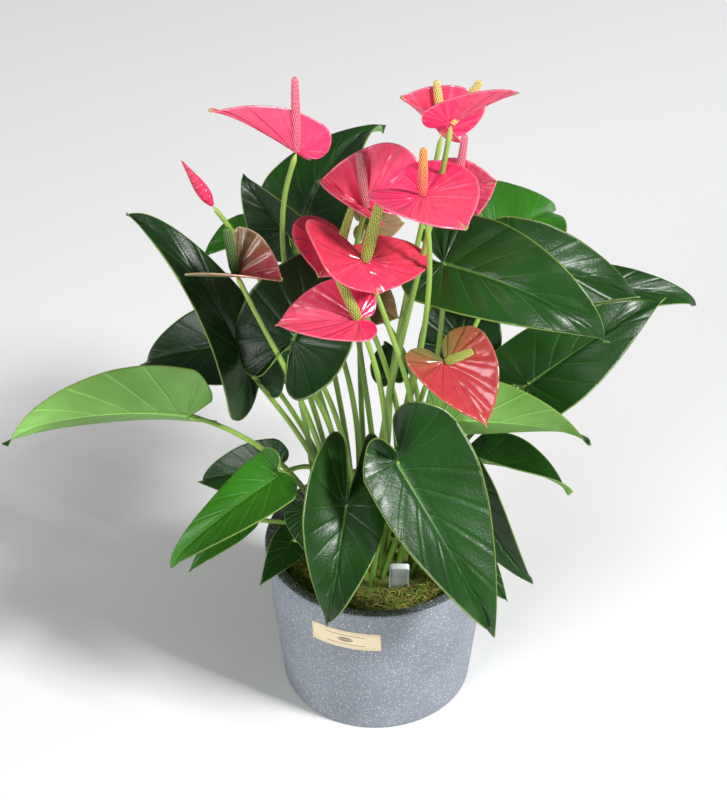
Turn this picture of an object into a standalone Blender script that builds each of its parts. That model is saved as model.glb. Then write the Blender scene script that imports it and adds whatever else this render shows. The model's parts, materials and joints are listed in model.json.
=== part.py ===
"""Potted anthurium in a stone-look cover pot.

Metres, +Z up, origin at the middle of the pot's base. The plant's own places are written in
millimetres, as heights above the rim and distances from the pot's axis, for a pot whose rim has
the radius PLACES_RIM. They follow the pot that is really set: see `place`.
"""

import math

import bmesh
import bpy
import numpy as np
from mathutils import Vector
from mathutils.bvhtree import BVHTree

MM = 0.001
GAP = 0.0003  # clearance between two pieces that rest on or fit in each other

# Cover pot
POT_RADIUS = 0.095
POT_BASE_RADIUS = 0.082
POT_HEIGHT = 0.145
POT_WALL = 0.012
POT_FLOOR = 0.010
POT_BASE_ROUND = 0.003
POT_LIP_ROUND = 0.002
POT_LIP_SLOPE = 0.003  # how far the lip falls towards the inside
POT_SIDES = 40

# Black nursery pot inside it
GROW_WALL = 0.0012
GROW_TOP_CLEARANCE = 0.002  # between its rim and the cover pot's wall
GROW_BASE_SHARE = 0.84  # its base radius against its rim radius
GROW_BELOW_RIM = 0.014
GROW_SIDES = 32

# Potting mix and moss
SOIL_BELOW_GROW_RIM = 0.010
MOSS_DEPTH = 0.008
MOSS_LUMP = 0.0015
MOSS_OPENING = 0.054  # radius of the bare ground in the middle

# Label on the pot and tag in the moss
LABEL_WIDTH = 0.060
LABEL_HEIGHT = 0.021
LABEL_THICKNESS = 0.0006
LABEL_BELOW_RIM = 0.031  # from the rim to the label's middle
LABEL_TURN = math.radians(-16.5)  # round the axis, from the front
TAG_WIDTH = 0.016
TAG_HEIGHT = 0.046
TAG_THICKNESS = 0.0010
TAG_PLACE = (0.018, -0.036)
TAG_LEAN = math.radians(24)

# Plant
PLACES_RIM = 0.095
PLANT_RISE = 1.0  # heights above the rim, against those written below
FEET_SPREAD = 0.045
FEET_MIDDLE = (-0.006, 0.004)
STALK_FOOT_RADIUS = 0.0026
STALK_NECK_RADIUS = 0.0019
KNUCKLE_RADIUS = 0.0026
LEAF_THICKNESS = 0.0014
SPATHE_THICKNESS = 0.0016
SPADIX_RADIUS = 0.0034
SPADIX_TIP_SHARE = 0.72
STALK_CLEARANCE = 0.0022  # least space between one stalk and another, or a blade
STALK_SIDES = 6
STALK_STEPS = 9
SEARCH_STEPS = 36
BOW_SIZES = (0.006, 0.012, 0.018, 0.024, 0.032, 0.042, 0.054)
BOW_LOW_SHARES = (0.6, 0.0, 1.2)
BOW_TURNS = 12
SPATHE_NOTCH_SPACE = 0.0008  # between a stalk's neck and the notch of its spathe
NOTCH_CLEARANCE = 0.0006

# Half of a heart's outline from the notch round the lobe to the tip. Forward of the joint the
# first number is a share of the blade's length, behind it a share of the lobe's length; the
# second is a share of the half width. The third is where along the midrib that row begins.
HEART = (
    (-0.40, 0.06, 0.00),
    (-0.95, 0.30, 0.00),
    (-0.92, 0.64, 0.00),
    (-0.30, 0.93, 0.00),
    (0.15, 1.00, 0.03),
    (0.42, 0.92, 0.20),
    (0.66, 0.62, 0.42),
    (0.86, 0.25, 0.70),
    (1.00, 0.00, 1.00),
)
LEAF_COLUMNS = 5
SPATHE_COLUMNS = 5

# Leaves: joint, tip, way the upper side faces (turn from the front, tilt up), half width and
# lobe as shares of the length, fold, arch and twist in degrees, ripple in mm, and the slope at
# which the stalk arrives.
LEAVES = (
    ("leaf_01", (-150, -30, 155), (-290, -60, 150), (-170, 0), 0.27, 0.10, 38, 45, 0, 2, 25),
    ("leaf_02", (-100, -20, 190), (-190, 20, 310), (45, 35), 0.27, 0.08, 8, 60, 30, 3, 60),
    ("leaf_03", (-115, 60, 160), (-200, 90, 115), (-45, 40), 0.30, 0.25, 12, 25, 0, 2, 40),
    ("leaf_04", (-65, -25, 225), (-25, 40, 275), (-5, 50), 0.40, 0.20, 10, 30, 0, 2, 60),
    ("leaf_05", (-60, 80, 260), (5, 140, 315), (-55, 60), 0.27, 0.20, 10, 70, 0, 2, 75),
    ("leaf_06", (-70, 50, 270), (-105, 60, 320), (-10, 15), 0.40, 0.25, 20, 30, 0, 2, 70),
    ("leaf_07", (-110, 110, 235), (-140, 90, 225), (-5, 65), 0.40, 0.30, 10, 40, 0, 3, 60),
    ("leaf_08", (95, 110, 230), (150, 190, 205), (60, 55), 0.40, 0.25, 15, 30, 0, 3, 60),
    ("leaf_09", (50, 5, 275), (175, -35, 230), (10, 55), 0.29, 0.10, 8, 45, 0, 2, 70),
    ("leaf_10", (100, 60, 240), (215, 90, 185), (40, 40), 0.22, 0.10, 12, 30, 0, 2, 60),
    ("leaf_11", (175, 110, 180), (270, 130, 150), (40, 55), 0.22, 0.15, 10, 30, 0, 2, 40),
    ("leaf_12", (120, 0, 165), (230, 60, 205), (0, 60), 0.27, 0.18, 8, 20, 0, 3, 50),
    ("leaf_13", (65, 40, 170), (80, 90, 220), (0, 45), 0.45, 0.30, 10, 20, 0, 2, 60),
    ("leaf_14", (50, -35, 155), (160, -95, 180), (150, 0), 0.26, 0.08, 38, 25, 0, 2, 40),
    ("leaf_15", (80, 0, 85), (155, -40, 85), (145, 75), 0.32, 0.12, 30, 20, 0, 2, 40),
    ("leaf_16", (15, -70, 140), (90, -130, 15), (20, 35), 0.26, 0.20, 8, 15, 0, 3, 20),
    ("leaf_17", (-25, -75, 100), (-40, -132, 25), (5, 40), 0.34, 0.50, 16, 30, 0, 2, 20),
    ("leaf_18", (-80, -50, 110), (-165, -80, 40), (-45, 50), 0.23, 0.08, 18, 15, 0, 2, 5),
    ("leaf_19", (-85, 0, 75), (-150, 20, 45), (-40, 45), 0.34, 0.16, 12, 20, 0, 2, 30),
    ("leaf_20", (-115, 20, 5), (-160, -10, -30), (-10, 45), 0.22, 0.20, 10, 20, 0, 2, 10),
    ("leaf_21", (-55, -38, 65), (-45, -68, 35), (-25, 35), 0.50, 0.30, 10, 20, 0, 2, 40),
    ("leaf_22", (-70, -42, 35), (-95, -80, 20), (20, 55), 0.30, 0.20, 12, 20, 0, 2, 30),
    ("leaf_23", (65, -35, 95), (125, -75, 20), (-15, 20), 0.24, 0.15, 12, 20, 0, 2, 20),
    ("leaf_24", (75, -38, 25), (107, -60, -15), (0, 35), 0.26, 0.12, 10, 20, 0, 2, 10),
    ("leaf_25", (-70, 20, 165), (-100, 10, 155), (-10, 55), 0.40, 0.28, 12, 20, 0, 2, 50),
    ("leaf_26", (10, 45, 140), (5, 75, 150), (-10, 70), 0.50, 0.30, 20, 20, 0, 2, 60),
)

# Flowers: joint, tip of the spathe, way it faces, tip of the spadix, half width, lobe, fold, arch.
FLOWERS = (
    ("01", (-60, 0, 375), (-120, -20, 420), (160, 40), (-60, 0, 435), 0.42, 0.30, 35, 10),
    ("02", (-10, 20, 315), (-40, -25, 355), (90, 30), (-15, 25, 360), 0.58, 0.34, 32, 10),
    ("03", (30, -60, 375), (55, -105, 375), (-60, 50), (30, -55, 410), 0.72, 0.36, 8, 10),
    ("04", (45, 0, 390), (15, 0, 420), (75, 45), (40, 5, 430), 0.55, 0.20, 30, 10),
    ("05", (50, -30, 415), (95, -40, 445), (-170, 30), (70, -20, 443), 0.40, 0.16, 25, 10),
    ("06", (60, 60, 305), (90, 50, 320), (-30, 20), (65, 60, 355), 0.75, 0.42, 12, 10),
    ("07", (-10, -75, 330), (0, -145, 350), (160, 50), (0, -70, 375), 0.62, 0.36, 14, 12),
    ("08", (-30, 0, 290), (-45, -50, 295), (-110, 75), (-20, 5, 325), 0.66, 0.36, 12, 10),
    ("09", (-105, -40, 295), (-65, -85, 325), (-105, 55), (-110, -40, 335), 0.60, 0.45, 30, 10),
    ("10", (-15, -90, 290), (-80, -120, 305), (50, 60), (-30, -85, 325), 0.38, 0.16, 18, 10),
    ("11", (50, -60, 230), (80, -100, 200), (10, 55), (70, -60, 240), 0.56, 0.30, 18, 12),
    ("12", (-10, 45, 285), (20, 45, 285), (5, 30), (-10, 50, 305), 0.55, 0.30, 12, 10),
    ("13", (-5, 15, 230), (15, -10, 235), (-40, 45), (-5, 15, 252), 0.60, 0.38, 12, 10),
)
BUD = ("bud", (-125, 15, 320), (-145, 5, 365), 0.0050)


def place(spot):
    """A place in millimetres beside the rim, as metres for the pot that is set."""
    reach = POT_RADIUS / PLACES_RIM
    x, y, height = spot
    return np.array((x * MM * reach, y * MM * reach, POT_HEIGHT + height * MM * PLANT_RISE))


def unit(vector):
    return vector / np.linalg.norm(vector)


def facing(turn, tilt):
    """The direction with this turn from the front (-Y) towards +X and this tilt above level."""
    turn, tilt = math.radians(turn), math.radians(tilt)
    return np.array((math.sin(turn) * math.cos(tilt), -math.cos(turn) * math.cos(tilt), math.sin(tilt)))


def smooth_rows(rows, steps):
    """Catmull-Rom points through rows, with steps points to each span."""
    rows = np.array(rows, float)
    ends = np.vstack((2 * rows[0] - rows[1], rows, 2 * rows[-1] - rows[-2]))
    found = []
    for start in range(len(rows) - 1):
        a, b, c, d = ends[start:start + 4]
        for step in range(steps):
            t = step / steps
            found.append(0.5 * (2 * b + (c - a) * t + (2 * a - 5 * b + 4 * c - d) * t * t
                                + (3 * b - a - 3 * c + d) * t ** 3))
    found.append(rows[-1])
    return np.array(found)


def blade_grid(joint, tip, face, half_width, lobe, fold, arch, twist, ripple, notch,
               columns, steps=1):
    """A heart-shaped blade's middle surface: an array of rows by columns by three.

    Each row runs from one margin over the midrib to the other, along a side vein. The blade
    is drawn flat, folded along its midrib, arched over its length, then laid from joint to tip.
    """
    chord = np.linalg.norm(tip - joint)
    arch = math.radians(max(arch, 1))
    length = chord * (arch / 2) / math.sin(arch / 2)
    outline = smooth_rows(HEART, steps)
    share = np.linspace(-1, 1, columns)
    turns = np.radians(np.interp(np.arange(len(outline)), (0, 5 * steps), (160, 0)))
    flat = np.zeros((len(outline), columns, 2))
    for row, ((forward, side, start), turn) in enumerate(zip(outline, turns)):
        forward *= length if forward > 0 else lobe * length
        root = (start * length + notch * math.cos(turn), notch * math.sin(turn))
        if start > 0.5:
            root = (start * length, 0.0)
        across = np.abs(share)
        flat[row, :, 0] = root[0] + (forward - root[0]) * across
        flat[row, :, 1] = np.sign(share) * (root[1] + (side * half_width * length - root[1]) * across)
    x, y = flat[..., 0], flat[..., 1]
    half = half_width * length
    soft = 0.12 * half
    rise = math.tan(math.radians(fold)) * (np.sqrt(y * y + soft * soft) - soft)
    along = np.arange(len(outline))[:, None] / (len(outline) - 1)
    rise = rise + ripple * MM * np.sin(along * 3.1 * math.pi + np.sign(share)) * share ** 2 * (1 - along)
    y = y * math.cos(math.radians(fold))
    roll = math.radians(twist) * x / length
    y, rise = y * np.cos(roll) - rise * np.sin(roll), y * np.sin(roll) + rise * np.cos(roll)
    radius = length / arch
    bend = x / radius
    forward = (radius + rise) * np.sin(bend)
    up = (radius + rise) * np.cos(bend) - radius
    turn = arch / 2
    forward, up = forward * math.cos(turn) - up * math.sin(turn), forward * math.sin(turn) + up * math.cos(turn)
    ahead = unit(tip - joint)
    normal = facing(*face)
    normal = unit(normal - ahead * normal.dot(ahead))
    side = np.cross(normal, ahead)
    return joint + forward[..., None] * ahead + y[..., None] * side + up[..., None] * normal


def stalk_path(foot, joint, arrival, bow, steps):
    """A cubic curve that rises from the foot, bows by bow and reaches the joint along arrival."""
    reach = np.linalg.norm(joint - foot)
    low = foot + np.array((bow[0] * bow[2], bow[1] * bow[2], 0.40 * reach))
    high = joint - arrival * 0.30 * reach + np.array((bow[0], bow[1], 0.0))
    t = np.linspace(0, 1, steps + 1)[:, None]
    return foot * (1 - t) ** 3 + 3 * low * t * (1 - t) ** 2 + 3 * high * t * t * (1 - t) + joint * t ** 3


def sweep(name, points, radii, sides, level_foot=True):
    """A closed tube along points, with a radius at each point. A level foot stands flat."""
    mesh = bpy.data.meshes.new(name)
    shape = bmesh.new()
    ahead = unit(points[1] - points[0])
    across = unit(np.cross(ahead, (0.3, 1.0, 0.1)))
    rings = []
    for index, (point, radius) in enumerate(zip(points, radii)):
        ahead = unit(points[min(index + 1, len(points) - 1)] - points[max(index - 1, 0)])
        if index == 0 and level_foot:
            ahead = np.array((0.0, 0.0, 1.0))
        across = unit(across - ahead * across.dot(ahead))
        other = np.cross(ahead, across)
        turns = [2 * math.pi * side / sides for side in range(sides)]
        ring = [shape.verts.new(point + radius * (across * math.cos(turn) + other * math.sin(turn)))
                for turn in turns]
        rings.append(ring)
    for lower, upper in zip(rings, rings[1:]):
        for side in range(sides):
            after = (side + 1) % sides
            shape.faces.new((lower[side], lower[after], upper[after], upper[side]))
    shape.faces.new(reversed(rings[0]))
    shape.faces.new(rings[-1])
    bmesh.ops.recalc_face_normals(shape, faces=shape.faces)
    shape.to_mesh(mesh)
    shape.free()
    return link(name, mesh)


def link(name, mesh):
    thing = bpy.data.objects.new(name, mesh)
    bpy.context.scene.collection.objects.link(thing)
    return thing


def finish(thing, colour, roughness, metallic=0.0):
    """Gives the object a Principled material of its own and smooth shading."""
    material = bpy.data.materials.new(thing.name)
    material.use_nodes = True
    shader = material.node_tree.nodes["Principled BSDF"]
    shader.inputs["Base Color"].default_value = (*colour, 1.0)
    shader.inputs["Roughness"].default_value = roughness
    shader.inputs["Metallic"].default_value = metallic
    thing.data.materials.append(material)
    thing.data.shade_smooth()
    thing.data.set_sharp_from_angle(angle=math.radians(40))
    return thing


def turned(name, profile, sides):
    """A solid of revolution. The profile goes from its bottom on the axis round to its top."""
    mesh = bpy.data.meshes.new(name)
    shape = bmesh.new()
    rings = []
    for radius, height in profile:
        if radius == 0:
            rings.append([shape.verts.new((0, 0, height))])
            continue
        turns = [2 * math.pi * side / sides for side in range(sides)]
        rings.append([shape.verts.new((radius * math.cos(turn), radius * math.sin(turn), height))
                      for turn in turns])
    closed = profile[0][0] != 0
    pairs = list(zip(rings, rings[1:]))
    if closed:
        pairs.append((rings[-1], rings[0]))
    for lower, upper in pairs:
        for side in range(sides):
            after = (side + 1) % sides
            corners = [lower[side % len(lower)], lower[after % len(lower)],
                       upper[after % len(upper)], upper[side % len(upper)]]
            shape.faces.new(list(dict.fromkeys(corners)))
    bmesh.ops.recalc_face_normals(shape, faces=shape.faces)
    shape.to_mesh(mesh)
    shape.free()
    return link(name, mesh)


def make_pot():
    inner_top = POT_RADIUS - POT_WALL
    inner_base = POT_BASE_RADIUS - POT_WALL
    pot = turned("cover_pot", (
        (0, 0),
        (POT_BASE_RADIUS - POT_BASE_ROUND, 0),
        (POT_BASE_RADIUS, POT_BASE_ROUND),
        (POT_RADIUS, POT_HEIGHT - POT_LIP_ROUND),
        (POT_RADIUS - POT_LIP_ROUND, POT_HEIGHT),
        (inner_top, POT_HEIGHT - POT_LIP_SLOPE),
        (inner_base, POT_FLOOR),
        (0, POT_FLOOR),
    ), POT_SIDES)
    return finish(pot, (0.10, 0.11, 0.13), 0.75)


def pot_inner_radius(height):
    """The cover pot's inner radius at a height. Its facets' flats lie nearest the axis."""
    share = (height - POT_FLOOR) / (POT_HEIGHT - POT_LIP_SLOPE - POT_FLOOR)
    radius = POT_BASE_RADIUS - POT_WALL + share * (POT_RADIUS - POT_BASE_RADIUS)
    return radius * math.cos(math.pi / POT_SIDES)


def pot_outer_radius(height):
    share = (height - POT_BASE_ROUND) / (POT_HEIGHT - POT_LIP_ROUND - POT_BASE_ROUND)
    return POT_BASE_RADIUS + share * (POT_RADIUS - POT_BASE_RADIUS)


GROW_BOTTOM = POT_FLOOR + GAP
GROW_TOP = POT_HEIGHT - GROW_BELOW_RIM
GROW_RADIUS = pot_inner_radius(GROW_TOP) - GROW_TOP_CLEARANCE
GROW_BASE_RADIUS = min(GROW_RADIUS * GROW_BASE_SHARE, pot_inner_radius(POT_FLOOR) - GROW_TOP_CLEARANCE)
SOIL_BOTTOM = GROW_BOTTOM + GROW_WALL + GAP
SOIL_TOP = GROW_TOP - SOIL_BELOW_GROW_RIM


def grow_inner_radius(height):
    share = (height - GROW_BOTTOM) / (GROW_TOP - GROW_BOTTOM)
    radius = GROW_BASE_RADIUS + share * (GROW_RADIUS - GROW_BASE_RADIUS) - GROW_WALL
    return radius * math.cos(math.pi / GROW_SIDES)


def make_grow_pot():
    pot = turned("nursery_pot", (
        (0, GROW_BOTTOM),
        (GROW_BASE_RADIUS, GROW_BOTTOM),
        (GROW_RADIUS, GROW_TOP),
        (GROW_RADIUS - GROW_WALL, GROW_TOP),
        (GROW_BASE_RADIUS - GROW_WALL, GROW_BOTTOM + GROW_WALL),
        (0, GROW_BOTTOM + GROW_WALL),
    ), GROW_SIDES)
    return finish(pot, (0.01, 0.01, 0.01), 0.5)


def make_potting_mix():
    mix = turned("potting_mix", (
        (0, SOIL_BOTTOM),
        (grow_inner_radius(SOIL_BOTTOM) - GAP, SOIL_BOTTOM),
        (grow_inner_radius(SOIL_TOP) - GAP, SOIL_TOP),
        (0, SOIL_TOP),
    ), GROW_SIDES)
    return finish(mix, (0.03, 0.018, 0.010), 0.95)


def make_moss():
    """A ring of moss on the potting mix, between the nursery pot's wall and the stalks."""
    bottom = SOIL_TOP + GAP
    top = bottom + MOSS_DEPTH
    outer = grow_inner_radius(bottom) - GAP

    moss = turned("moss", (
        (MOSS_OPENING, bottom),
        (outer, bottom),
        (outer, top - MOSS_DEPTH / 3),
        (outer - MOSS_DEPTH, top),
        (MOSS_OPENING + MOSS_DEPTH, top),
        (MOSS_OPENING, top - MOSS_DEPTH / 2),
    ), GROW_SIDES)
    for vertex in moss.data.vertices:
        if vertex.co.z > bottom + MOSS_DEPTH / 4:
            turn = math.atan2(vertex.co.y, vertex.co.x)
            reach = math.hypot(vertex.co.x, vertex.co.y)
            vertex.co.z += MOSS_LUMP * math.sin(5 * turn + 300 * reach) * math.cos(3 * turn)
    return finish(moss, (0.12, 0.10, 0.03), 0.95)


def make_label():
    """A thin paper label that follows the pot's wall."""
    mesh = bpy.data.meshes.new("label")
    shape = bmesh.new()
    middle = POT_HEIGHT - LABEL_BELOW_RIM
    half_turn = LABEL_WIDTH / 2 / pot_outer_radius(middle)
    steps = 10
    layers = []
    for off in (GAP, GAP + LABEL_THICKNESS):
        layer = []
        for height in (middle - LABEL_HEIGHT / 2, middle + LABEL_HEIGHT / 2):
            radius = pot_outer_radius(height) + off
            row = []
            for step in range(steps + 1):
                turn = LABEL_TURN + half_turn * (2 * step / steps - 1)
                row.append(shape.verts.new((radius * math.sin(turn), -radius * math.cos(turn), height)))
            layer.append(row)
        layers.append(layer)
    (back_low, back_high), (front_low, front_high) = layers
    for step in range(steps):
        after = step + 1
        shape.faces.new((front_low[step], front_low[after], front_high[after], front_high[step]))
        shape.faces.new((back_high[step], back_high[after], back_low[after], back_low[step]))
        shape.faces.new((front_high[step], front_high[after], back_high[after], back_high[step]))
        shape.faces.new((back_low[step], back_low[after], front_low[after], front_low[step]))
    for step in (0, steps):
        shape.faces.new((front_low[step], front_high[step], back_high[step], back_low[step]))
    bmesh.ops.recalc_face_normals(shape, faces=shape.faces)
    shape.to_mesh(mesh)
    shape.free()
    return finish(link("label", mesh), (0.80, 0.68, 0.45), 0.6)


def make_tag():
    """A blank plant tag that stands on the potting mix and leans towards the rim."""
    mesh = bpy.data.meshes.new("plant_tag")
    shape = bmesh.new()
    bmesh.ops.create_cube(shape, size=1.0)
    lift = TAG_THICKNESS * math.sin(TAG_LEAN) + GAP
    for corner in shape.verts:
        corner.co.x *= TAG_WIDTH
        corner.co.y *= TAG_THICKNESS
        corner.co.z = (corner.co.z + 0.5) * TAG_HEIGHT
        low, out = corner.co.z, corner.co.y
        corner.co.y = out * math.cos(TAG_LEAN) - low * math.sin(TAG_LEAN)
        corner.co.z = out * math.sin(TAG_LEAN) + low * math.cos(TAG_LEAN)
        corner.co += Vector((TAG_PLACE[0], TAG_PLACE[1], SOIL_TOP + lift))
    shape.to_mesh(mesh)
    shape.free()
    return finish(link("plant_tag", mesh), (0.85, 0.87, 0.88), 0.4)


def blade_sheet(name, grid, thickness):
    """An object whose blade has the grid as its middle surface and a Solidify for its thickness."""
    rows, columns = grid.shape[:2]
    mesh = bpy.data.meshes.new(name)
    shape = bmesh.new()
    spots = [[shape.verts.new(grid[row, column]) for column in range(columns)] for row in range(rows)]
    for row in range(rows - 1):
        for column in range(columns - 1):
            shape.faces.new((spots[row][column], spots[row][column + 1],
                             spots[row + 1][column + 1], spots[row + 1][column]))
    bmesh.ops.remove_doubles(shape, verts=shape.verts, dist=0.0002)
    bmesh.ops.recalc_face_normals(shape, faces=shape.faces)
    shape.to_mesh(mesh)
    shape.free()
    blade = link(name, mesh)
    solid = blade.modifiers.new("thickness", "SOLIDIFY")
    solid.thickness = thickness
    solid.offset = 0
    solid.use_even_offset = True
    return blade


def feet(count):
    """Places on the ground for the stalks' feet, spread evenly like seeds on a disc."""
    spots = []
    for index in range(count):
        radius = FEET_SPREAD * math.sqrt((index + 0.5) / count)
        turn = index * math.radians(137.5)
        spots.append(np.array((FEET_MIDDLE[0] + radius * math.cos(turn),
                               FEET_MIDDLE[1] + radius * math.sin(turn),
                               SOIL_TOP + GAP + 0.0001)))
    return spots


def cut_notch(spathe, stem):
    """Cuts the spathe clear of the stalk and the spadix that stand in its notch."""
    radii = [radius + NOTCH_CLEARANCE for radius in stalk_radii(stem)]
    beyond_tip = stem.path[-1] + unit(stem.path[-1] - stem.path[-2]) * NOTCH_CLEARANCE
    cutter = sweep(stem.name + "_cutter", np.vstack((stem.path, beyond_tip)), radii + radii[-1:],
                   STALK_SIDES)
    cut = spathe.modifiers.new("notch", "BOOLEAN")
    cut.operation = "DIFFERENCE"
    cut.object = cutter
    cutter.hide_render = True
    cutter.display_type = "WIRE"


def join_blade(blade, stalk):
    """Makes the stalk part of the blade."""
    union = blade.modifiers.new("stalk", "BOOLEAN")
    union.operation = "UNION"
    union.object = stalk
    union.use_self = True
    stalk.hide_render = True
    stalk.display_type = "WIRE"


class Stem:
    """One leaf, flower or bud: its blade's grid, where its stalk ends and what stands beyond."""

    def __init__(self, name, joint, arrival, grid=None, beyond=None, beyond_radii=()):
        self.name = name
        self.joint = joint
        self.arrival = arrival
        self.grid = grid
        self.beyond = np.array(beyond) if beyond is not None else np.zeros((0, 3))
        self.beyond_radii = list(beyond_radii)
        self.foot = None
        self.path = None

    def trial(self, bow, steps):
        stalk = stalk_path(self.foot, self.joint, self.arrival, bow, steps)
        return np.vstack((stalk, self.beyond))


def read_leaf(row):
    name, joint, tip, face, half_width, lobe, fold, arch, twist, ripple, slope = row
    joint, tip = place(joint), place(tip)
    grid = blade_grid(joint, tip, face, half_width, lobe, fold, arch, twist, ripple, 0,
                      LEAF_COLUMNS)
    slope = math.radians(slope)
    outward = unit(np.array((joint[0] - FEET_MIDDLE[0], joint[1] - FEET_MIDDLE[1], 0.0)))
    arrival = outward * math.cos(slope) + np.array((0.0, 0.0, math.sin(slope)))
    knuckle = joint + arrival * LEAF_THICKNESS
    return Stem(name, joint, arrival, grid, [knuckle], [KNUCKLE_RADIUS])


def read_flower(row):
    number, joint, tip, face, spadix_tip, half_width, lobe, fold, arch = row
    joint, tip, spadix_tip = place(joint), place(tip), place(spadix_tip)
    notch = STALK_NECK_RADIUS + SPATHE_NOTCH_SPACE
    grid = blade_grid(joint, tip, face, half_width, lobe, fold, arch, 0, 0, notch, SPATHE_COLUMNS)
    upright = unit(spadix_tip - joint)
    arrival = unit(upright + 0.6 * unit(facing(*face)) + np.array((0.0, 0.0, 0.3)))
    shares = (0.12, 0.22, 0.45, 0.80, 0.95, 1.0)
    thick = (0.75, 1.0, 0.97, 0.85, SPADIX_TIP_SHARE, 0.35)
    beyond = [joint + (spadix_tip - joint) * share for share in shares]
    return Stem(number, joint, arrival, grid, beyond, [SPADIX_RADIUS * share for share in thick])


def read_bud(row):
    name, joint, tip, radius = row
    joint, tip = place(joint), place(tip)
    shares = (0.06, 0.25, 0.55, 0.80, 1.0)
    thick = (0.6, 1.0, 0.8, 0.45, 0.12)
    beyond = [joint + (tip - joint) * share for share in shares]
    return Stem(name, joint, unit(tip - joint), None, beyond, [radius * share for share in thick])


def give_feet(stems):
    """The stems that reach furthest out take the outermost free feet on their own side."""
    free = feet(len(stems))
    for stem in sorted(stems, key=lambda one: -math.hypot(one.joint[0], one.joint[1])):
        wish = np.array((stem.joint[0], stem.joint[1]))
        wish = wish * min(1.0, FEET_SPREAD / np.linalg.norm(wish))
        best = min(range(len(free)), key=lambda index: np.linalg.norm(free[index][:2] - wish))
        stem.foot = free.pop(best)


def path_gap(points, line):
    """The least distance from points to a line of straight pieces."""
    start, piece = line[:-1], np.diff(line, axis=0)
    off = points[:, None] - start[None]
    along = np.clip((off * piece).sum(2) / np.maximum((piece * piece).sum(1), 1e-12), 0, 1)
    return np.linalg.norm(off - along[..., None] * piece[None], axis=2).min()


def surface(grids):
    """A search tree over the blades' middle surfaces."""
    corners, faces = [], []
    for grid in grids:
        rows, columns = grid.shape[:2]
        first = len(corners)
        corners.extend(Vector(spot) for spot in grid.reshape(-1, 3))
        for row in range(rows - 1):
            for column in range(columns - 1):
                start = first + row * columns + column
                faces.append((start, start + 1, start + columns + 1, start + columns))
    return BVHTree.FromPolygons(corners, faces)


def route_stalks(stems):
    """Bows each stalk just enough to pass beside the blades and the stalks already routed."""
    turns = [turn * 2 * math.pi / BOW_TURNS for turn in range(BOW_TURNS)]
    bows = [(0.0, 0.0, 0.6)] + [(size * math.cos(turn), size * math.sin(turn), low)
                                for size in BOW_SIZES for low in BOW_LOW_SHARES for turn in turns]
    routed = []
    for stem in stems:
        others = surface([one.grid for one in stems if one is not stem and one.grid is not None])
        own = surface([stem.grid]) if stem.grid is not None else None
        best = None
        for bow in bows:
            trial = stem.trial(bow, SEARCH_STEPS)
            stalk = trial[:SEARCH_STEPS + 1]
            room = min((others.find_nearest(Vector(spot), 0.05)[3] or 0.05) for spot in trial)
            if own is not None:
                below = stalk[:int(SEARCH_STEPS * 0.85)]
                room = min([room] + [own.find_nearest(Vector(spot), 0.05)[3] or 0.05 for spot in below])
            room -= LEAF_THICKNESS
            for line in routed:
                room = min(room, path_gap(trial, line) - STALK_FOOT_RADIUS)
            room -= STALK_FOOT_RADIUS if stem.grid is None else SPADIX_RADIUS
            if best is None or room > best[0]:
                best = (room, bow)
            if room > STALK_CLEARANCE:
                break
        stem.path = stem.trial(best[1], STALK_STEPS)
        routed.append(stem.trial(best[1], SEARCH_STEPS))


def stalk_radii(stem):
    """The stalk tapers from its foot to its neck, then takes the radii of what stands beyond."""
    taper = np.linspace(STALK_FOOT_RADIUS, STALK_NECK_RADIUS, STALK_STEPS + 1)
    return list(taper) + stem.beyond_radii


def make_leaf(stem):
    blade = blade_sheet(stem.name, stem.grid, LEAF_THICKNESS)
    stalk = sweep(stem.name + "_stalk", stem.path, stalk_radii(stem), STALK_SIDES)
    join_blade(blade, stalk)
    finish(blade, (0.02, 0.10, 0.02), 0.35)


def make_flower(stem):
    spathe = blade_sheet("spathe_" + stem.name, stem.grid, SPATHE_THICKNESS)
    cut_notch(spathe, stem)
    finish(spathe, (0.75, 0.05, 0.12), 0.3)
    stalk = sweep("flower_stalk_" + stem.name, stem.path, stalk_radii(stem), STALK_SIDES)
    finish(stalk, (0.30, 0.45, 0.10), 0.5)


def make_bud(stem):
    finish(sweep("flower_bud", stem.path, stalk_radii(stem), STALK_SIDES), (0.70, 0.10, 0.20), 0.45)


def main():
    for old in list(bpy.data.objects):
        bpy.data.objects.remove(old)
    make_pot()
    make_grow_pot()
    make_potting_mix()
    make_moss()
    make_label()
    make_tag()
    leaves = [read_leaf(row) for row in LEAVES]
    flowers = [read_flower(row) for row in FLOWERS]
    bud = read_bud(BUD)
    stems = flowers + leaves + [bud]
    give_feet(stems)
    route_stalks(stems)
    for stem in leaves:
        make_leaf(stem)
    for stem in flowers:
        make_flower(stem)
    make_bud(bud)


if __name__ == "__main__":
    main()
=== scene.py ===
"""Potted anthurium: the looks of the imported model, laid out as a Blender add-on.

Metres, +Z up, origin at the middle of the pot's base. The plant's own places are written in
millimetres, as heights above the rim and distances from the pot's axis.
"""

import json
import math

import bpy
import numpy as np
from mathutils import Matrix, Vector
from mathutils.bvhtree import BVHTree

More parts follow.
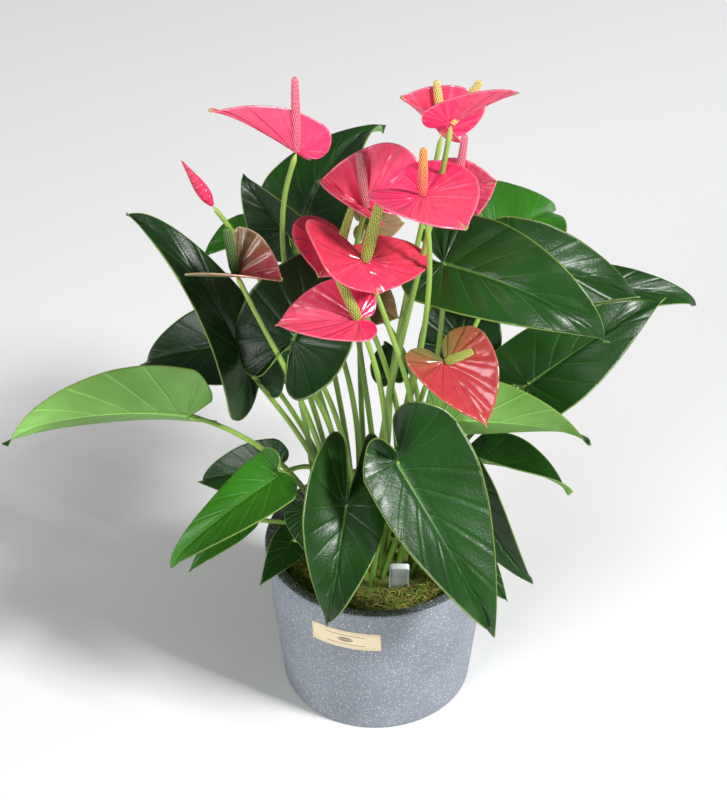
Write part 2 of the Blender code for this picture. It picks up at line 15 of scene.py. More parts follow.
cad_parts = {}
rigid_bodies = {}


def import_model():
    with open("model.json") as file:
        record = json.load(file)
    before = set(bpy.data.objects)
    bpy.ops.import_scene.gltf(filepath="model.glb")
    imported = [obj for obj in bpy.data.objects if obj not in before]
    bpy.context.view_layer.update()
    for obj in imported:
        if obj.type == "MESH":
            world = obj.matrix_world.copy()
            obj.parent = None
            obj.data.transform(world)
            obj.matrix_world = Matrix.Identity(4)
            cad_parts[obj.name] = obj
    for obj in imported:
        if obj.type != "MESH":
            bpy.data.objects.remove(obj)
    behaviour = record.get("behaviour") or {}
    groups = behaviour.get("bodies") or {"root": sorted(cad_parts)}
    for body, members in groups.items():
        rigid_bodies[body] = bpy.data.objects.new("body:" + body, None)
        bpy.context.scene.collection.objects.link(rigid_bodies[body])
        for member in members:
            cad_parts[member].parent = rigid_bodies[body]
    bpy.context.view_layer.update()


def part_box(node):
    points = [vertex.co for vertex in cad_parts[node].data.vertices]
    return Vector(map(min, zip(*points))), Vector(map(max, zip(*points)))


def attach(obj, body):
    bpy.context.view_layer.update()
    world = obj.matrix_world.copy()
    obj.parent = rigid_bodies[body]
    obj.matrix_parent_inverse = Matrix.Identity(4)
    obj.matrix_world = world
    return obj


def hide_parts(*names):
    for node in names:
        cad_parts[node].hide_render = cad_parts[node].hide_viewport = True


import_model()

bl_info = {
    "name": "Potted Anthurium",
    "version": (1, 0, 0),
    "blender": (4, 5, 0),
    "location": "View3D > Sidebar > Anthurium",
    "description": "Builds a potted anthurium with its leaves, flowers, moss and stone-look pot",
    "category": "Object",
}

MM = 0.001
POT_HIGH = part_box("cover_pot")[1]
POT_RADIUS = round(POT_HIGH.x, 5)
POT_HEIGHT = round(POT_HIGH.z, 5)
GROW_LOW, GROW_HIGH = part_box("nursery_pot")
SOIL_LOW, SOIL_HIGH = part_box("potting_mix")
MOSS_LOW, MOSS_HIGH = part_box("moss")

# The cover pot's profile, the same as in the model that moves
POT_BASE_RADIUS = 0.082
POT_WALL = 0.012
POT_FLOOR = 0.010
POT_BASE_ROUND = 0.003
POT_LIP_ROUND = 0.002
POT_LIP_SLOPE = 0.003
GROW_BASE_SHARE = 0.84
GROW_WALL = 0.0012
LABEL_WIDTH = 0.060
LABEL_HEIGHT = 0.021
LABEL_BELOW_RIM = 0.031
LABEL_TURN = math.radians(-16.5)
LABEL_LIFT = 0.0003
TAG_SIZE = (0.016, 0.0010, 0.046)
TAG_PLACE = (0.018, -0.036)
TAG_LEAN = math.radians(24)
MOSS_OPENING = 0.054

# What fills the pot: loose mix, bark chips on it, moss and the strands rooted in the moss
PROFILE_START = 0.02
SOIL_RINGS = 24
SOIL_PITS = 0.0010
CHIPS = 70
CHIP_SIZES = (0.0016, 0.0042)
CHIP_SHAPE = (1.0, 0.6, 0.35)
BEAD = 0.0009
MOSS_RINGS = 8
MOSS_EDGE = 0.003
MOSS_BED = 0.0045
MOSS_LUMP = 0.0012
MOSS_PITS = 0.0015
STRAND_LENGTHS = (0.005, 0.014)
STRAND_LIFTS = (0.0018, 0.0052)
STRAND_SWING = 1.3
STRAND_THICKNESS = (0.8, 1, 1, 0.9, 0.7, 0.3)
STRAND_SIDES = 3
TONE_SHARES = (0.34, 0.26, 0.2, 0.12, 0.08)

# The stage: where the lights stand, how wide they are and what they point at
LIGHTS = (("key", (3.8, -2.0, 3.7), 1.1), ("top", (-0.4, -0.3, 5.0), 2.0),
          ("fill", (-3.0, -3.8, 2.2), 2.4))
LIGHT_AIM = (0.0, 0.0, 0.30)
FLOOR_SIZE = 16

# How the stalks run, the same as in the model that moves
SOIL_TOP = round(SOIL_HIGH.z, 5)
FEET_SPREAD = 0.045
FEET_MIDDLE = (-0.006, 0.004)
STALK_FOOT_RADIUS = 0.0026
STALK_NECK_RADIUS = 0.0019
KNUCKLE_RADIUS = 0.0026
LEAF_THICKNESS = 0.0014
SPADIX_RADIUS = 0.0034
STALK_CLEARANCE = 0.0022
SEARCH_STEPS = 36
BOW_SIZES = (0.006, 0.012, 0.018, 0.024, 0.032, 0.042, 0.054)
BOW_LOW_SHARES = (0.6, 0.0, 1.2)
BOW_TURNS = 12
SPATHE_NOTCH = 0.0027
ROUTE_COLUMNS = 5
NOTCH_ROWS = (0, 5)
NOTCH_TURNS = (160, 0)
RIPPLE_TURN = 3.1 * math.pi
FOLD_SOFTNESS = 0.12
SPADIX_SHARES = (0.12, 0.22, 0.45, 0.80, 0.95, 1.0)
BUD_SHARES = (0.06, 0.25, 0.55, 0.80, 1.0)
SEARCH_REACH = 0.05
FREE_SHARE = 0.85
FOOT_LIFT = 0.0004
FEET_TURN = math.radians(137.5)
STALK_STEPS = 9
STALK_POINTS = STALK_STEPS + 1
BLADE_STEPS = 10
BLADE_COLUMNS = 41
MERGE_DISTANCE = 0.00002
POINT_RADIUS = 0.00001
STALK_SIDES = 14
STALK_DEPTH = 0.006
LEAF_STALK_ROWS = 40
FLOWER_STALK_ROWS = 44
KNUCKLE_PLACE = 0.965
KNUCKLE_SPREAD = 0.03
COLLAR_START = 0.97
COLLAR_SWELL = 0.0010
SPADIX_GRID = (110, 78)
SPADIX_THICKNESS = ((0, 0.06, 0.16, 0.45, 0.8, 1.0), (0.70, 0.85, 1.0, 0.97, 0.84, 0.70))
SPADIX_SPIRALS = 12
SPADIX_ROWS = 9
SPADIX_FLORET = 0.00035
BUD_GRID = (48, 48)
BUD_THICKNESS = (0.35, 0.85, 1.0, 0.92, 0.72, 0.48, 0.26, 0.06)
BUD_SEAM_TURN = 0.45
SMOOTH_ANGLE = math.radians(35)
ROUTED = []

# Half of a heart's outline from the notch round the lobe to the tip. Forward of the joint the
# first number is a share of the blade's length, behind it a share of the lobe's length; the
# second is a share of the half width. The third is where along the midrib that row begins.
HEART = (
    (-0.40, 0.06, 0.00),
    (-0.95, 0.30, 0.00),
    (-0.92, 0.64, 0.00),
    (-0.30, 0.93, 0.00),
    (0.15, 1.00, 0.03),
    (0.42, 0.92, 0.20),
    (0.66, 0.62, 0.42),
    (0.86, 0.25, 0.70),
    (1.00, 0.00, 1.00),
)
# Leaves: joint, tip, way the upper side faces (turn from the front, tilt up), half width and
# lobe as shares of the length, fold, arch and twist in degrees, ripple in mm, and the slope at
# which the stalk arrives.
LEAVES = (
    ("leaf_01", (-150, -30, 155), (-290, -60, 150), (-170, 0), 0.27, 0.10, 38, 45, 0, 2, 25),
    ("leaf_02", (-100, -20, 190), (-190, 20, 310), (45, 35), 0.27, 0.08, 8, 60, 30, 3, 60),
    ("leaf_03", (-115, 60, 160), (-200, 90, 115), (-45, 40), 0.30, 0.25, 12, 25, 0, 2, 40),
    ("leaf_04", (-65, -25, 225), (-25, 40, 275), (-5, 50), 0.40, 0.20, 10, 30, 0, 2, 60),
    ("leaf_05", (-60, 80, 260), (5, 140, 315), (-55, 60), 0.27, 0.20, 10, 70, 0, 2, 75),
    ("leaf_06", (-70, 50, 270), (-105, 60, 320), (-10, 15), 0.40, 0.25, 20, 30, 0, 2, 70),
    ("leaf_07", (-110, 110, 235), (-140, 90, 225), (-5, 65), 0.40, 0.30, 10, 40, 0, 3, 60),
    ("leaf_08", (95, 110, 230), (150, 190, 205), (60, 55), 0.40, 0.25, 15, 30, 0, 3, 60),
    ("leaf_09", (50, 5, 275), (175, -35, 230), (10, 55), 0.29, 0.10, 8, 45, 0, 2, 70),
    ("leaf_10", (100, 60, 240), (215, 90, 185), (40, 40), 0.22, 0.10, 12, 30, 0, 2, 60),
    ("leaf_11", (175, 110, 180), (270, 130, 150), (40, 55), 0.22, 0.15, 10, 30, 0, 2, 40),
    ("leaf_12", (120, 0, 165), (230, 60, 205), (0, 60), 0.27, 0.18, 8, 20, 0, 3, 50),
    ("leaf_13", (65, 40, 170), (80, 90, 220), (0, 45), 0.45, 0.30, 10, 20, 0, 2, 60),
    ("leaf_14", (50, -35, 155), (160, -95, 180), (150, 0), 0.26, 0.08, 38, 25, 0, 2, 40),
    ("leaf_15", (80, 0, 85), (155, -40, 85), (145, 75), 0.32, 0.12, 30, 20, 0, 2, 40),
    ("leaf_16", (15, -70, 140), (90, -130, 15), (20, 35), 0.26, 0.20, 8, 15, 0, 3, 20),
    ("leaf_17", (-25, -75, 100), (-40, -132, 25), (5, 40), 0.34, 0.50, 16, 30, 0, 2, 20),
    ("leaf_18", (-80, -50, 110), (-165, -80, 40), (-45, 50), 0.23, 0.08, 18, 15, 0, 2, 5),
    ("leaf_19", (-85, 0, 75), (-150, 20, 45), (-40, 45), 0.34, 0.16, 12, 20, 0, 2, 30),
    ("leaf_20", (-115, 20, 5), (-160, -10, -30), (-10, 45), 0.22, 0.20, 10, 20, 0, 2, 10),
    ("leaf_21", (-55, -38, 65), (-45, -68, 35), (-25, 35), 0.50, 0.30, 10, 20, 0, 2, 40),
    ("leaf_22", (-70, -42, 35), (-95, -80, 20), (20, 55), 0.30, 0.20, 12, 20, 0, 2, 30),
    ("leaf_23", (65, -35, 95), (125, -75, 20), (-15, 20), 0.24, 0.15, 12, 20, 0, 2, 20),
    ("leaf_24", (75, -38, 25), (107, -60, -15), (0, 35), 0.26, 0.12, 10, 20, 0, 2, 10),
    ("leaf_25", (-70, 20, 165), (-100, 10, 155), (-10, 55), 0.40, 0.28, 12, 20, 0, 2, 50),
    ("leaf_26", (10, 45, 140), (5, 75, 150), (-10, 70), 0.50, 0.30, 20, 20, 0, 2, 60),
)

# Flowers: joint, tip of the spathe, way it faces, tip of the spadix, half width, lobe, fold, arch.
FLOWERS = (
    ("01", (-60, 0, 375), (-120, -20, 420), (160, 40), (-60, 0, 435), 0.42, 0.30, 35, 10),
    ("02", (-10, 20, 315), (-40, -25, 355), (90, 30), (-15, 25, 360), 0.58, 0.34, 32, 10),
    ("03", (30, -60, 375), (55, -105, 375), (-60, 50), (30, -55, 410), 0.72, 0.36, 8, 10),
    ("04", (45, 0, 390), (15, 0, 420), (75, 45), (40, 5, 430), 0.55, 0.20, 30, 10),
    ("05", (50, -30, 415), (95, -40, 445), (-170, 30), (70, -20, 443), 0.40, 0.16, 25, 10),
    ("06", (60, 60, 305), (90, 50, 320), (-30, 20), (65, 60, 355), 0.75, 0.42, 12, 10),
    ("07", (-10, -75, 330), (0, -145, 350), (160, 50), (0, -70, 375), 0.62, 0.36, 14, 12),
    ("08", (-30, 0, 290), (-45, -50, 295), (-110, 75), (-20, 5, 325), 0.66, 0.36, 12, 10),
    ("09", (-105, -40, 295), (-65, -85, 325), (-105, 55), (-110, -40, 335), 0.60, 0.45, 30, 10),
    ("10", (-15, -90, 290), (-80, -120, 305), (50, 60), (-30, -85, 325), 0.38, 0.16, 18, 10),
    ("11", (50, -60, 230), (80, -100, 200), (10, 55), (70, -60, 240), 0.56, 0.30, 18, 12),
    ("12", (-10, 45, 285), (20, 45, 285), (5, 30), (-10, 50, 305), 0.55, 0.30, 12, 10),
    ("13", (-5, 15, 230), (15, -10, 235), (-40, 45), (-5, 15, 252), 0.60, 0.38, 12, 10),
)
# The bud: joint, tip and radius.
BUD = ((-125, 15, 320), (-145, 5, 365), 0.0050)

# The same heart drawn for the looks: fuller lobes, and sides that draw in to a fine tip. The
# spathes' heart is rounder.
LEAF_OUTLINE = (
    (-0.30, 0.05, 0.00),
    (-0.92, 0.24, 0.00),
    (-1.00, 0.56, 0.00),
    (-0.48, 0.90, 0.00),
    (0.08, 1.00, 0.00),
    (0.33, 0.88, 0.09),
    (0.56, 0.62, 0.24),
    (0.77, 0.32, 0.46),
    (0.92, 0.09, 0.74),
    (1.00, 0.00, 1.00),
)
SPATHE_OUTLINE = (
    (-0.25, 0.04, 0.00),
    (-0.85, 0.20, 0.00),
    (-1.00, 0.52, 0.00),
    (-0.66, 0.86, 0.00),
    (-0.05, 1.00, 0.00),
    (0.33, 0.93, 0.00),
    (0.60, 0.70, 0.03),
    (0.80, 0.40, 0.16),
    (0.93, 0.12, 0.50),
    (1.00, 0.00, 1.00),
)

# What sets the blades off from one another beyond the tables above. Widths of the two sides
# are shares of the half width, folds are added to the blade's own fold, and the rest are
# shares of the half width, numbers of waves or degrees. Left and right are seen from the joint
# towards the tip with the upper side up.
BOTH_SIDES = {
    "left": 1.0, "right": 1.0, "left_fold": 0, "right_fold": 0, "left_lobe": 1.0, "right_lobe": 1.0,
    "left_low": 0.0, "right_low": 0.0,
}
LEAF_LOOK = {
    **BOTH_SIDES, "outline": LEAF_OUTLINE, "tone": "grown", "cup": 0.0, "curl": 30, "hood": 0.25,
    "quilt": 0.009, "channel": 0.05, "ruffle": 0.11, "waves": 1.4, "veins": 11, "bow": 0.9,
}
LEAF_LOOKS = {
    "leaf_01": {"half_width": 0.24},
    "leaf_02": {"half_width": 0.24, "left": 0.8, "lobe": 0.16, "fold": 14, "tone": "old"},
    "leaf_03": {"half_width": 0.34, "tone": "old"},
    "leaf_04": {"half_width": 0.48, "lobe": 0.38, "tone": "old"},
    "leaf_05": {"half_width": 0.42},
    "leaf_06": {"tone": "old"},
    "leaf_07": {"tone": "young"},
    "leaf_08": {"half_width": 0.46, "lobe": 0.32, "tone": "young"},
    "leaf_09": {"half_width": 0.31, "left": 0.9, "lobe": 0.16, "fold": 6, "quilt": 0.022},
    "leaf_10": {"half_width": 0.26, "lobe": 0.16},
    "leaf_12": {"half_width": 0.28, "lobe": 0.22, "right_low": -0.4},
    "leaf_13": {"tone": "old"},
    "leaf_14": {"half_width": 0.24},
    "leaf_15": {"half_width": 0.34},
    "leaf_16": {"half_width": 0.31, "left": 0.70, "right": 1.12, "left_low": 1.2, "left_lobe": 0.7,
                "fold": 10, "left_fold": 12, "hood": 0.35, "curl": 35, "quilt": 0.008},
    "leaf_17": {"half_width": 0.36, "lobe": 0.55, "right": 0.95, "fold": 22, "hood": 0.45,
                "ruffle": 0.20},
    "leaf_18": {"half_width": 0.27, "left": 0.8, "right": 1.15, "fold": 18, "tone": "young"},
    "leaf_20": {"tone": "young"},
}
SPATHE_LOOK = {
    **BOTH_SIDES, "outline": SPATHE_OUTLINE, "tone": "fresh", "cup": 0.10, "curl": 14, "hood": 0.0,
    "quilt": 0.026, "channel": 0.03, "ruffle": 0.05, "waves": 1.3, "veins": 8, "bow": 0.8,
    "girth": 1.0, "spadix": "pink",
}
SPATHE_LOOKS = {
    "01": {"half_width": 0.29, "lobe": 0.22, "right_low": -0.6, "fold": 42, "left_fold": -22},
    "02": {"tip": (-45, 25, 335), "face": (25, 38), "half_width": 1.0, "lobe": 0.75, "fold": 25,
           "left": 1.25, "right_fold": 30, "right": 0.8, "right_lobe": 0.3, "spadix": "dusky"},
    "03": {"tip": (60, -95, 370), "face": (30, 80), "half_width": 0.85, "lobe": 0.72, "fold": 5,
           "left_lobe": 0.8, "spadix": "salmon"},
    "04": {"tip": (15, 0, 420), "face": (40, 35), "half_width": 0.80, "lobe": 0.30, "fold": 32,
           "right": 0.6, "right_fold": 25, "right_lobe": 0.1, "spadix": "cream"},
    "05": {"half_width": 0.38, "lobe": 0.26, "right_low": -0.8, "left_low": -0.8, "fold": 40,
           "left_fold": -25, "spadix": "cream"},
    "07": {"tip": (0, -95, 315), "face": (70, 55), "half_width": 1.9, "lobe": 1.6, "fold": 0,
           "left": 0.85, "right": 1.2, "right_lobe": 0.55, "left_fold": -4, "right_fold": -6,
           "girth": 1.25, "tone": "deep", "spadix": "lime"},
    "08": {"tip": (-45, -35, 290), "face": (60, 80), "half_width": 1.0, "lobe": 0.6,
           "tone": "deep", "spadix": "lime"},
    "09": {"tip": (-70, -55, 300), "face": (-40, 62), "half_width": 0.9, "lobe": 0.75, "fold": 24,
           "right": 0.95, "right_lobe": 0.2, "left_fold": 24, "left_lobe": 0.9, "girth": 1.15,
           "tone": "bronze", "spadix": "green"},
    "10": {"tip": (-75, -90, 285), "face": (-15, 75), "half_width": 0.5, "lobe": 0.2,
           "girth": 1.1, "spadix": "lime"},
    "11": {"half_width": 0.58, "lobe": 0.30, "left": 0.9, "left_low": -1.0, "face": (15, 50),
           "tone": "turning", "spadix": "lime"},
    "12": {"tone": "olive", "spadix": "green"},
    "13": {"tone": "olive", "spadix": "lime"},
}
# Colours of a spathe near its joint and near its tip and of its veins, where along it the second
# colour sets in and is full, and its roughness if it is not glossy
SPATHE_TONES = {
    "deep": ((0.62, 0.032, 0.070), (0.74, 0.036, 0.100), (0.75, 0.18, 0.22), 0.2, 0.8),
    "bronze": ((0.19, 0.12, 0.040), (0.58, 0.070, 0.100), (0.66, 0.48, 0.32), 0.45, 0.95),
    "turning": ((0.17, 0.16, 0.045), (0.46, 0.040, 0.050), (0.42, 0.16, 0.09), 0.15, 0.62),
    "olive": ((0.15, 0.15, 0.040), (0.30, 0.18, 0.09), (0.42, 0.34, 0.16), 0.3, 1.0, 0.30),
}
DULL_UNDERSIDE = ((0.24, 0.24, 0.10), (0.42, 0.12, 0.09), (0.50, 0.34, 0.24), 0.3, 0.9, 0.42)
# Colours at a spadix's base and tip, and the painted shade in the grooves between its florets
SPADIX_TONES = {
    "pink": ((0.80, 0.16, 0.25), (0.86, 0.25, 0.32), (0.60, 0.08, 0.15)),
    "dusky": ((0.62, 0.22, 0.24), (0.66, 0.30, 0.30), (0.36, 0.08, 0.10)),
    "salmon": ((0.80, 0.17, 0.14), (0.86, 0.45, 0.08), (0.62, 0.10, 0.07)),
    "cream": ((0.78, 0.58, 0.16), (0.86, 0.72, 0.28), (0.55, 0.35, 0.06)),
    "lime": ((0.36, 0.42, 0.07), (0.50, 0.54, 0.12), (0.16, 0.22, 0.03)),
    "green": ((0.06, 0.15, 0.03), (0.12, 0.24, 0.06), (0.02, 0.05, 0.012)),
}


def place(spot):
    """A place in millimetres beside the rim, in metres."""
    x, y, height = spot
    return np.array((x * MM, y * MM, POT_HEIGHT + height * MM))


def unit(vector):
    return vector / np.linalg.norm(vector)


def facing(turn, tilt):
    """The direction with this turn from the front (-Y) towards +X and this tilt above level."""
    turn, tilt = math.radians(turn), math.radians(tilt)
    level = math.cos(tilt)
    return np.array((math.sin(turn) * level, -math.cos(turn) * level, math.sin(tilt)))


def smooth_rows(rows, steps):
    """Catmull-Rom points through rows, with steps points to each span."""
    rows = np.array(rows, float)
    ends = np.vstack((2 * rows[0] - rows[1], rows, 2 * rows[-1] - rows[-2]))
    found = []
    for start in range(len(rows) - 1):
        a, b, c, d = ends[start:start + 4]
        for step in range(steps):
            t = step / steps
            found.append(0.5 * (2 * b + (c - a) * t + (2 * a - 5 * b + 4 * c - d) * t * t
                                + (3 * b - a - 3 * c + d) * t ** 3))
    found.append(rows[-1])
    return np.array(found)


def ripple_wave(along, share):
    """A slow wave along both margins that dies out towards the tip."""
    return np.sin(along * RIPPLE_TURN + np.sign(share)) * share ** 2 * (1 - along)


def soft_fold(y, half):
    """How far each place is from the fold along the midrib, which is rounded and not a crease."""
    soft = FOLD_SOFTNESS * half
    return np.sqrt(y * y + soft * soft) - soft


def turned(first, second, turn):
    """Two coordinates turned by an angle."""
    return (first * np.cos(turn) - second * np.sin(turn),
            first * np.sin(turn) + second * np.cos(turn))


def laid(joint, tip, face, forward, beside, up):
    """Places in a blade's own directions, laid from joint to tip with the upper side to face."""
    ahead = unit(tip - joint)
    normal = facing(*face)
    normal = unit(normal - ahead * normal.dot(ahead))
    side = np.cross(normal, ahead)
    return joint + forward[..., None] * ahead + beside[..., None] * side + up[..., None] * normal


def blade_grid(joint, tip, face, half_width, lobe, fold, arch, twist, ripple, notch):
    """A heart-shaped blade's middle surface, as coarse as the stalks' search needs it.

    It holds rows by columns by three, as in the model that moves. Each row runs from one margin
    over the midrib to the other, along a side vein. The blade is drawn flat, folded along its
    midrib, arched over its length, then laid from joint to tip.
    """
    chord = np.linalg.norm(tip - joint)
    arch = math.radians(max(arch, 1))
    length = chord * (arch / 2) / math.sin(arch / 2)
    share = np.linspace(-1, 1, ROUTE_COLUMNS)
    turns = np.radians(np.interp(np.arange(len(HEART)), NOTCH_ROWS, NOTCH_TURNS))
    flat = np.zeros((len(HEART), ROUTE_COLUMNS, 2))
    for row, ((forward, side, start), turn) in enumerate(zip(HEART, turns)):
        forward *= length if forward > 0 else lobe * length
        root = (start * length + notch * math.cos(turn), notch * math.sin(turn))
        if start > 0.5:
            root = (start * length, 0.0)
        across = np.abs(share)
        flat[row, :, 0] = root[0] + (forward - root[0]) * across
        reach = side * half_width * length
        flat[row, :, 1] = np.sign(share) * (root[1] + (reach - root[1]) * across)
    x, y = flat[..., 0], flat[..., 1]
    rise = math.tan(math.radians(fold)) * soft_fold(y, half_width * length)
    along = np.arange(len(HEART))[:, None] / (len(HEART) - 1)
    rise = rise + ripple * MM * ripple_wave(along, share)
    y = y * math.cos(math.radians(fold))
    roll = math.radians(twist) * x / length
    y, rise = turned(y, rise, roll)
    radius = length / arch
    bend = x / radius
    forward = (radius + rise) * np.sin(bend)
    up = (radius + rise) * np.cos(bend) - radius
    turn = arch / 2
    forward, up = (forward * math.cos(turn) - up * math.sin(turn),
                   forward * math.sin(turn) + up * math.cos(turn))
    return laid(joint, tip, face, forward, y, up)


def stalk_path(foot, joint, arrival, bow, steps):
    """A cubic curve that rises from the foot, bows by bow and reaches the joint along arrival."""
    reach = np.linalg.norm(joint - foot)
    low = foot + np.array((bow[0] * bow[2], bow[1] * bow[2], 0.40 * reach))
    high = joint - arrival * 0.30 * reach + np.array((bow[0], bow[1], 0.0))
    t = np.linspace(0, 1, steps + 1)[:, None]
    return (foot * (1 - t) ** 3 + 3 * low * t * (1 - t) ** 2
            + 3 * high * t * t * (1 - t) + joint * t ** 3)


def feet(count):
    """Places on the ground for the stalks' feet, spread evenly like seeds on a disc."""
    spots = []
    for index in range(count):
        radius = FEET_SPREAD * math.sqrt((index + 0.5) / count)
        turn = index * FEET_TURN
        spots.append(np.array((FEET_MIDDLE[0] + radius * math.cos(turn),
                               FEET_MIDDLE[1] + radius * math.sin(turn),
                               SOIL_TOP + FOOT_LIFT)))
    return spots


class Stem:
    """One leaf, flower or bud: its blade's grid, where its stalk ends and what stands beyond."""

    def __init__(self, joint, arrival, grid, beyond):
        self.joint = joint
        self.arrival = arrival
        self.grid = grid
        self.beyond = np.array(beyond)
        self.foot = None
        self.path = None

    def trial(self, bow, steps):
        stalk = stalk_path(self.foot, self.joint, self.arrival, bow, steps)
        return np.vstack((stalk, self.beyond))


def read_leaf(row):
    _, joint, tip, face, half_width, lobe, fold, arch, twist, ripple, slope = row
    joint, tip = place(joint), place(tip)
    grid = blade_grid(joint, tip, face, half_width, lobe, fold, arch, twist, ripple, 0)
    slope = math.radians(slope)
    outward = unit(np.array((joint[0] - FEET_MIDDLE[0], joint[1] - FEET_MIDDLE[1], 0.0)))
    arrival = outward * math.cos(slope) + np.array((0.0, 0.0, math.sin(slope)))
    return Stem(joint, arrival, grid, [joint + arrival * LEAF_THICKNESS])


def read_flower(row):
    _, joint, tip, face, spadix_tip, half_width, lobe, fold, arch = row
    joint, tip, spadix_tip = place(joint), place(tip), place(spadix_tip)
    grid = blade_grid(joint, tip, face, half_width, lobe, fold, arch, 0, 0, SPATHE_NOTCH)
    upright = unit(spadix_tip - joint)
    arrival = unit(upright + 0.6 * unit(facing(*face)) + np.array((0.0, 0.0, 0.3)))
    beyond = [joint + (spadix_tip - joint) * share for share in SPADIX_SHARES]
    return Stem(joint, arrival, grid, beyond)


def read_bud(row):
    joint, tip = place(row[0]), place(row[1])
    beyond = [joint + (tip - joint) * share for share in BUD_SHARES]
    return Stem(joint, unit(tip - joint), None, beyond)


def give_feet(stems):
    """The stems that reach furthest out take the outermost free feet on their own side."""
    free = feet(len(stems))
    for stem in sorted(stems, key=lambda one: -math.hypot(one.joint[0], one.joint[1])):
        wish = np.array((stem.joint[0], stem.joint[1]))
        wish = wish * min(1.0, FEET_SPREAD / np.linalg.norm(wish))
        best = min(range(len(free)), key=lambda index: np.linalg.norm(free[index][:2] - wish))
        stem.foot = free.pop(best)


def path_gap(points, line):
    """The least distance from points to a line of straight pieces."""
    start, piece = line[:-1], np.diff(line, axis=0)
    off = points[:, None] - start[None]
    along = np.clip((off * piece).sum(2) / np.maximum((piece * piece).sum(1), 1e-12), 0, 1)
    return np.linalg.norm(off - along[..., None] * piece[None], axis=2).min()


def tree_gap(points, tree):
    """The least distance from points to the faces of a search tree."""
    return min(tree.find_nearest(Vector(spot), SEARCH_REACH)[3] or SEARCH_REACH for spot in points)


def surface(grids):
    """A search tree over the blades' middle surfaces."""
    corners, faces = [], []
    for grid in grids:
        rows, columns = grid.shape[:2]
        first = len(corners)
        corners.extend(Vector(spot) for spot in grid.reshape(-1, 3))
        for row in range(rows - 1):
            for column in range(columns - 1):
                start = first + row * columns + column
                faces.append((start, start + 1, start + columns + 1, start + columns))
    return BVHTree.FromPolygons(corners, faces)


def route_stalks(stems):
    """Bows each stalk just enough to pass beside the blades and the stalks already routed."""
    turns = [turn * 2 * math.pi / BOW_TURNS for turn in range(BOW_TURNS)]
    bows = [(0.0, 0.0, 0.6)] + [(size * math.cos(turn), size * math.sin(turn), low)
                                for size in BOW_SIZES for low in BOW_LOW_SHARES for turn in turns]
    routed = []
    for stem in stems:
        others = surface([one.grid for one in stems if one is not stem and one.grid is not None])
        own = surface([stem.grid]) if stem.grid is not None else None
        best = None
        for bow in bows:
            trial = stem.trial(bow, SEARCH_STEPS)
            stalk = trial[:SEARCH_STEPS + 1]
            room = tree_gap(trial, others)
            if own is not None:
                room = min(room, tree_gap(stalk[:int(SEARCH_STEPS * FREE_SHARE)], own))
            room -= LEAF_THICKNESS
            for line in routed:
                room = min(room, path_gap(trial, line) - STALK_FOOT_RADIUS)
            room -= STALK_FOOT_RADIUS if stem.grid is None else SPADIX_RADIUS
            if best is None or room > best[0]:
                best = (room, bow)
            if room > STALK_CLEARANCE:
                break
        stem.path = stem.trial(best[1], STALK_STEPS)
        routed.append(stem.trial(best[1], SEARCH_STEPS))


def routed_stems():
    """The stems of leaves, flowers and bud, with their stalks routed clear of one another."""
    if not ROUTED:
        leaves = [read_leaf(row) for row in LEAVES]
        flowers = [read_flower(row) for row in FLOWERS]
        bud = read_bud(BUD)
        stems = flowers + leaves + [bud]
        give_feet(stems)
        route_stalks(stems)
        ROUTED.extend((leaves, flowers, bud))
    return ROUTED


def deselect():
    for thing in bpy.context.selected_objects:
        thing.select_set(False)


def grid_piece(name, spots, materials, closed_round=False):
    """A piece from a grid primitive whose vertices are set to spots, rows by columns by three.

    Its UV map runs across the columns and along the rows. Rows that meet in a point are merged.
    """
    rows, columns = spots.shape[:2]
    deselect()
    bpy.ops.mesh.primitive_grid_add(x_subdivisions=columns - 1, y_subdivisions=rows - 1, size=2)
    piece = bpy.context.object
    piece.name = piece.data.name = name
    flat = np.empty(len(piece.data.vertices) * 3)
    piece.data.vertices.foreach_get("co", flat)
    flat = flat.reshape(-1, 3)
    column = np.rint((flat[:, 0] + 1) / 2 * (columns - 1)).astype(int)
    row = np.rint((flat[:, 1] + 1) / 2 * (rows - 1)).astype(int)
    piece.data.vertices.foreach_set("co", spots[row, column].ravel())
    bpy.ops.object.mode_set(mode="EDIT")
    bpy.ops.mesh.select_all(action="SELECT")
    bpy.ops.mesh.remove_doubles(threshold=MERGE_DISTANCE)
    if closed_round:
        bpy.ops.mesh.normals_make_consistent(inside=False)
    bpy.ops.object.mode_set(mode="OBJECT")
    for material in materials:
        piece.data.materials.append(material)
    bpy.ops.object.shade_smooth()
    return piece


def thicken(piece, thickness, under=0):
    """Gives a sheet its thickness. The new side takes the material that many slots further on."""
    solid = piece.modifiers.new("thickness", "SOLIDIFY")
    solid.thickness = thickness
    solid.offset = 0
    solid.material_offset = under
    solid.material_offset_rim = 0
    bpy.context.view_layer.objects.active = piece
    bpy.ops.object.modifier_apply(modifier="thickness")
    return piece


def tube(path, radii, sides):
    """Spots round a path, rows by sides + 1 by three, with a radius at each point."""
    path = np.array(path, float)
    ahead = np.gradient(path, axis=0)
    ahead /= np.linalg.norm(ahead, axis=1)[:, None]
    across = np.cross(ahead[0], (0.3, 1.0, 0.1))
    turns = np.linspace(0, 2 * math.pi, sides + 1)[:, None]
    rows = []
    for spot, along, radius in zip(path, ahead, radii):
        across = unit(across - along * across.dot(along))
        other = np.cross(along, across)
        rows.append(spot + radius * (np.cos(turns) * across + np.sin(turns) * other))
    return np.array(rows)


def resample(values, count):
    """Values at evenly spaced steps along a list, smoothly joined."""
    values = np.array(values, float)
    shape = values.shape
    values = values.reshape(len(values), -1)
    steps = max(2, -(-count // (len(values) - 1)))
    fine = smooth_rows(values, steps)
    places = np.linspace(0, len(fine) - 1, count)
    found = np.array([np.interp(places, np.arange(len(fine)), column) for column in fine.T]).T
    return found.reshape((count,) + shape[1:])


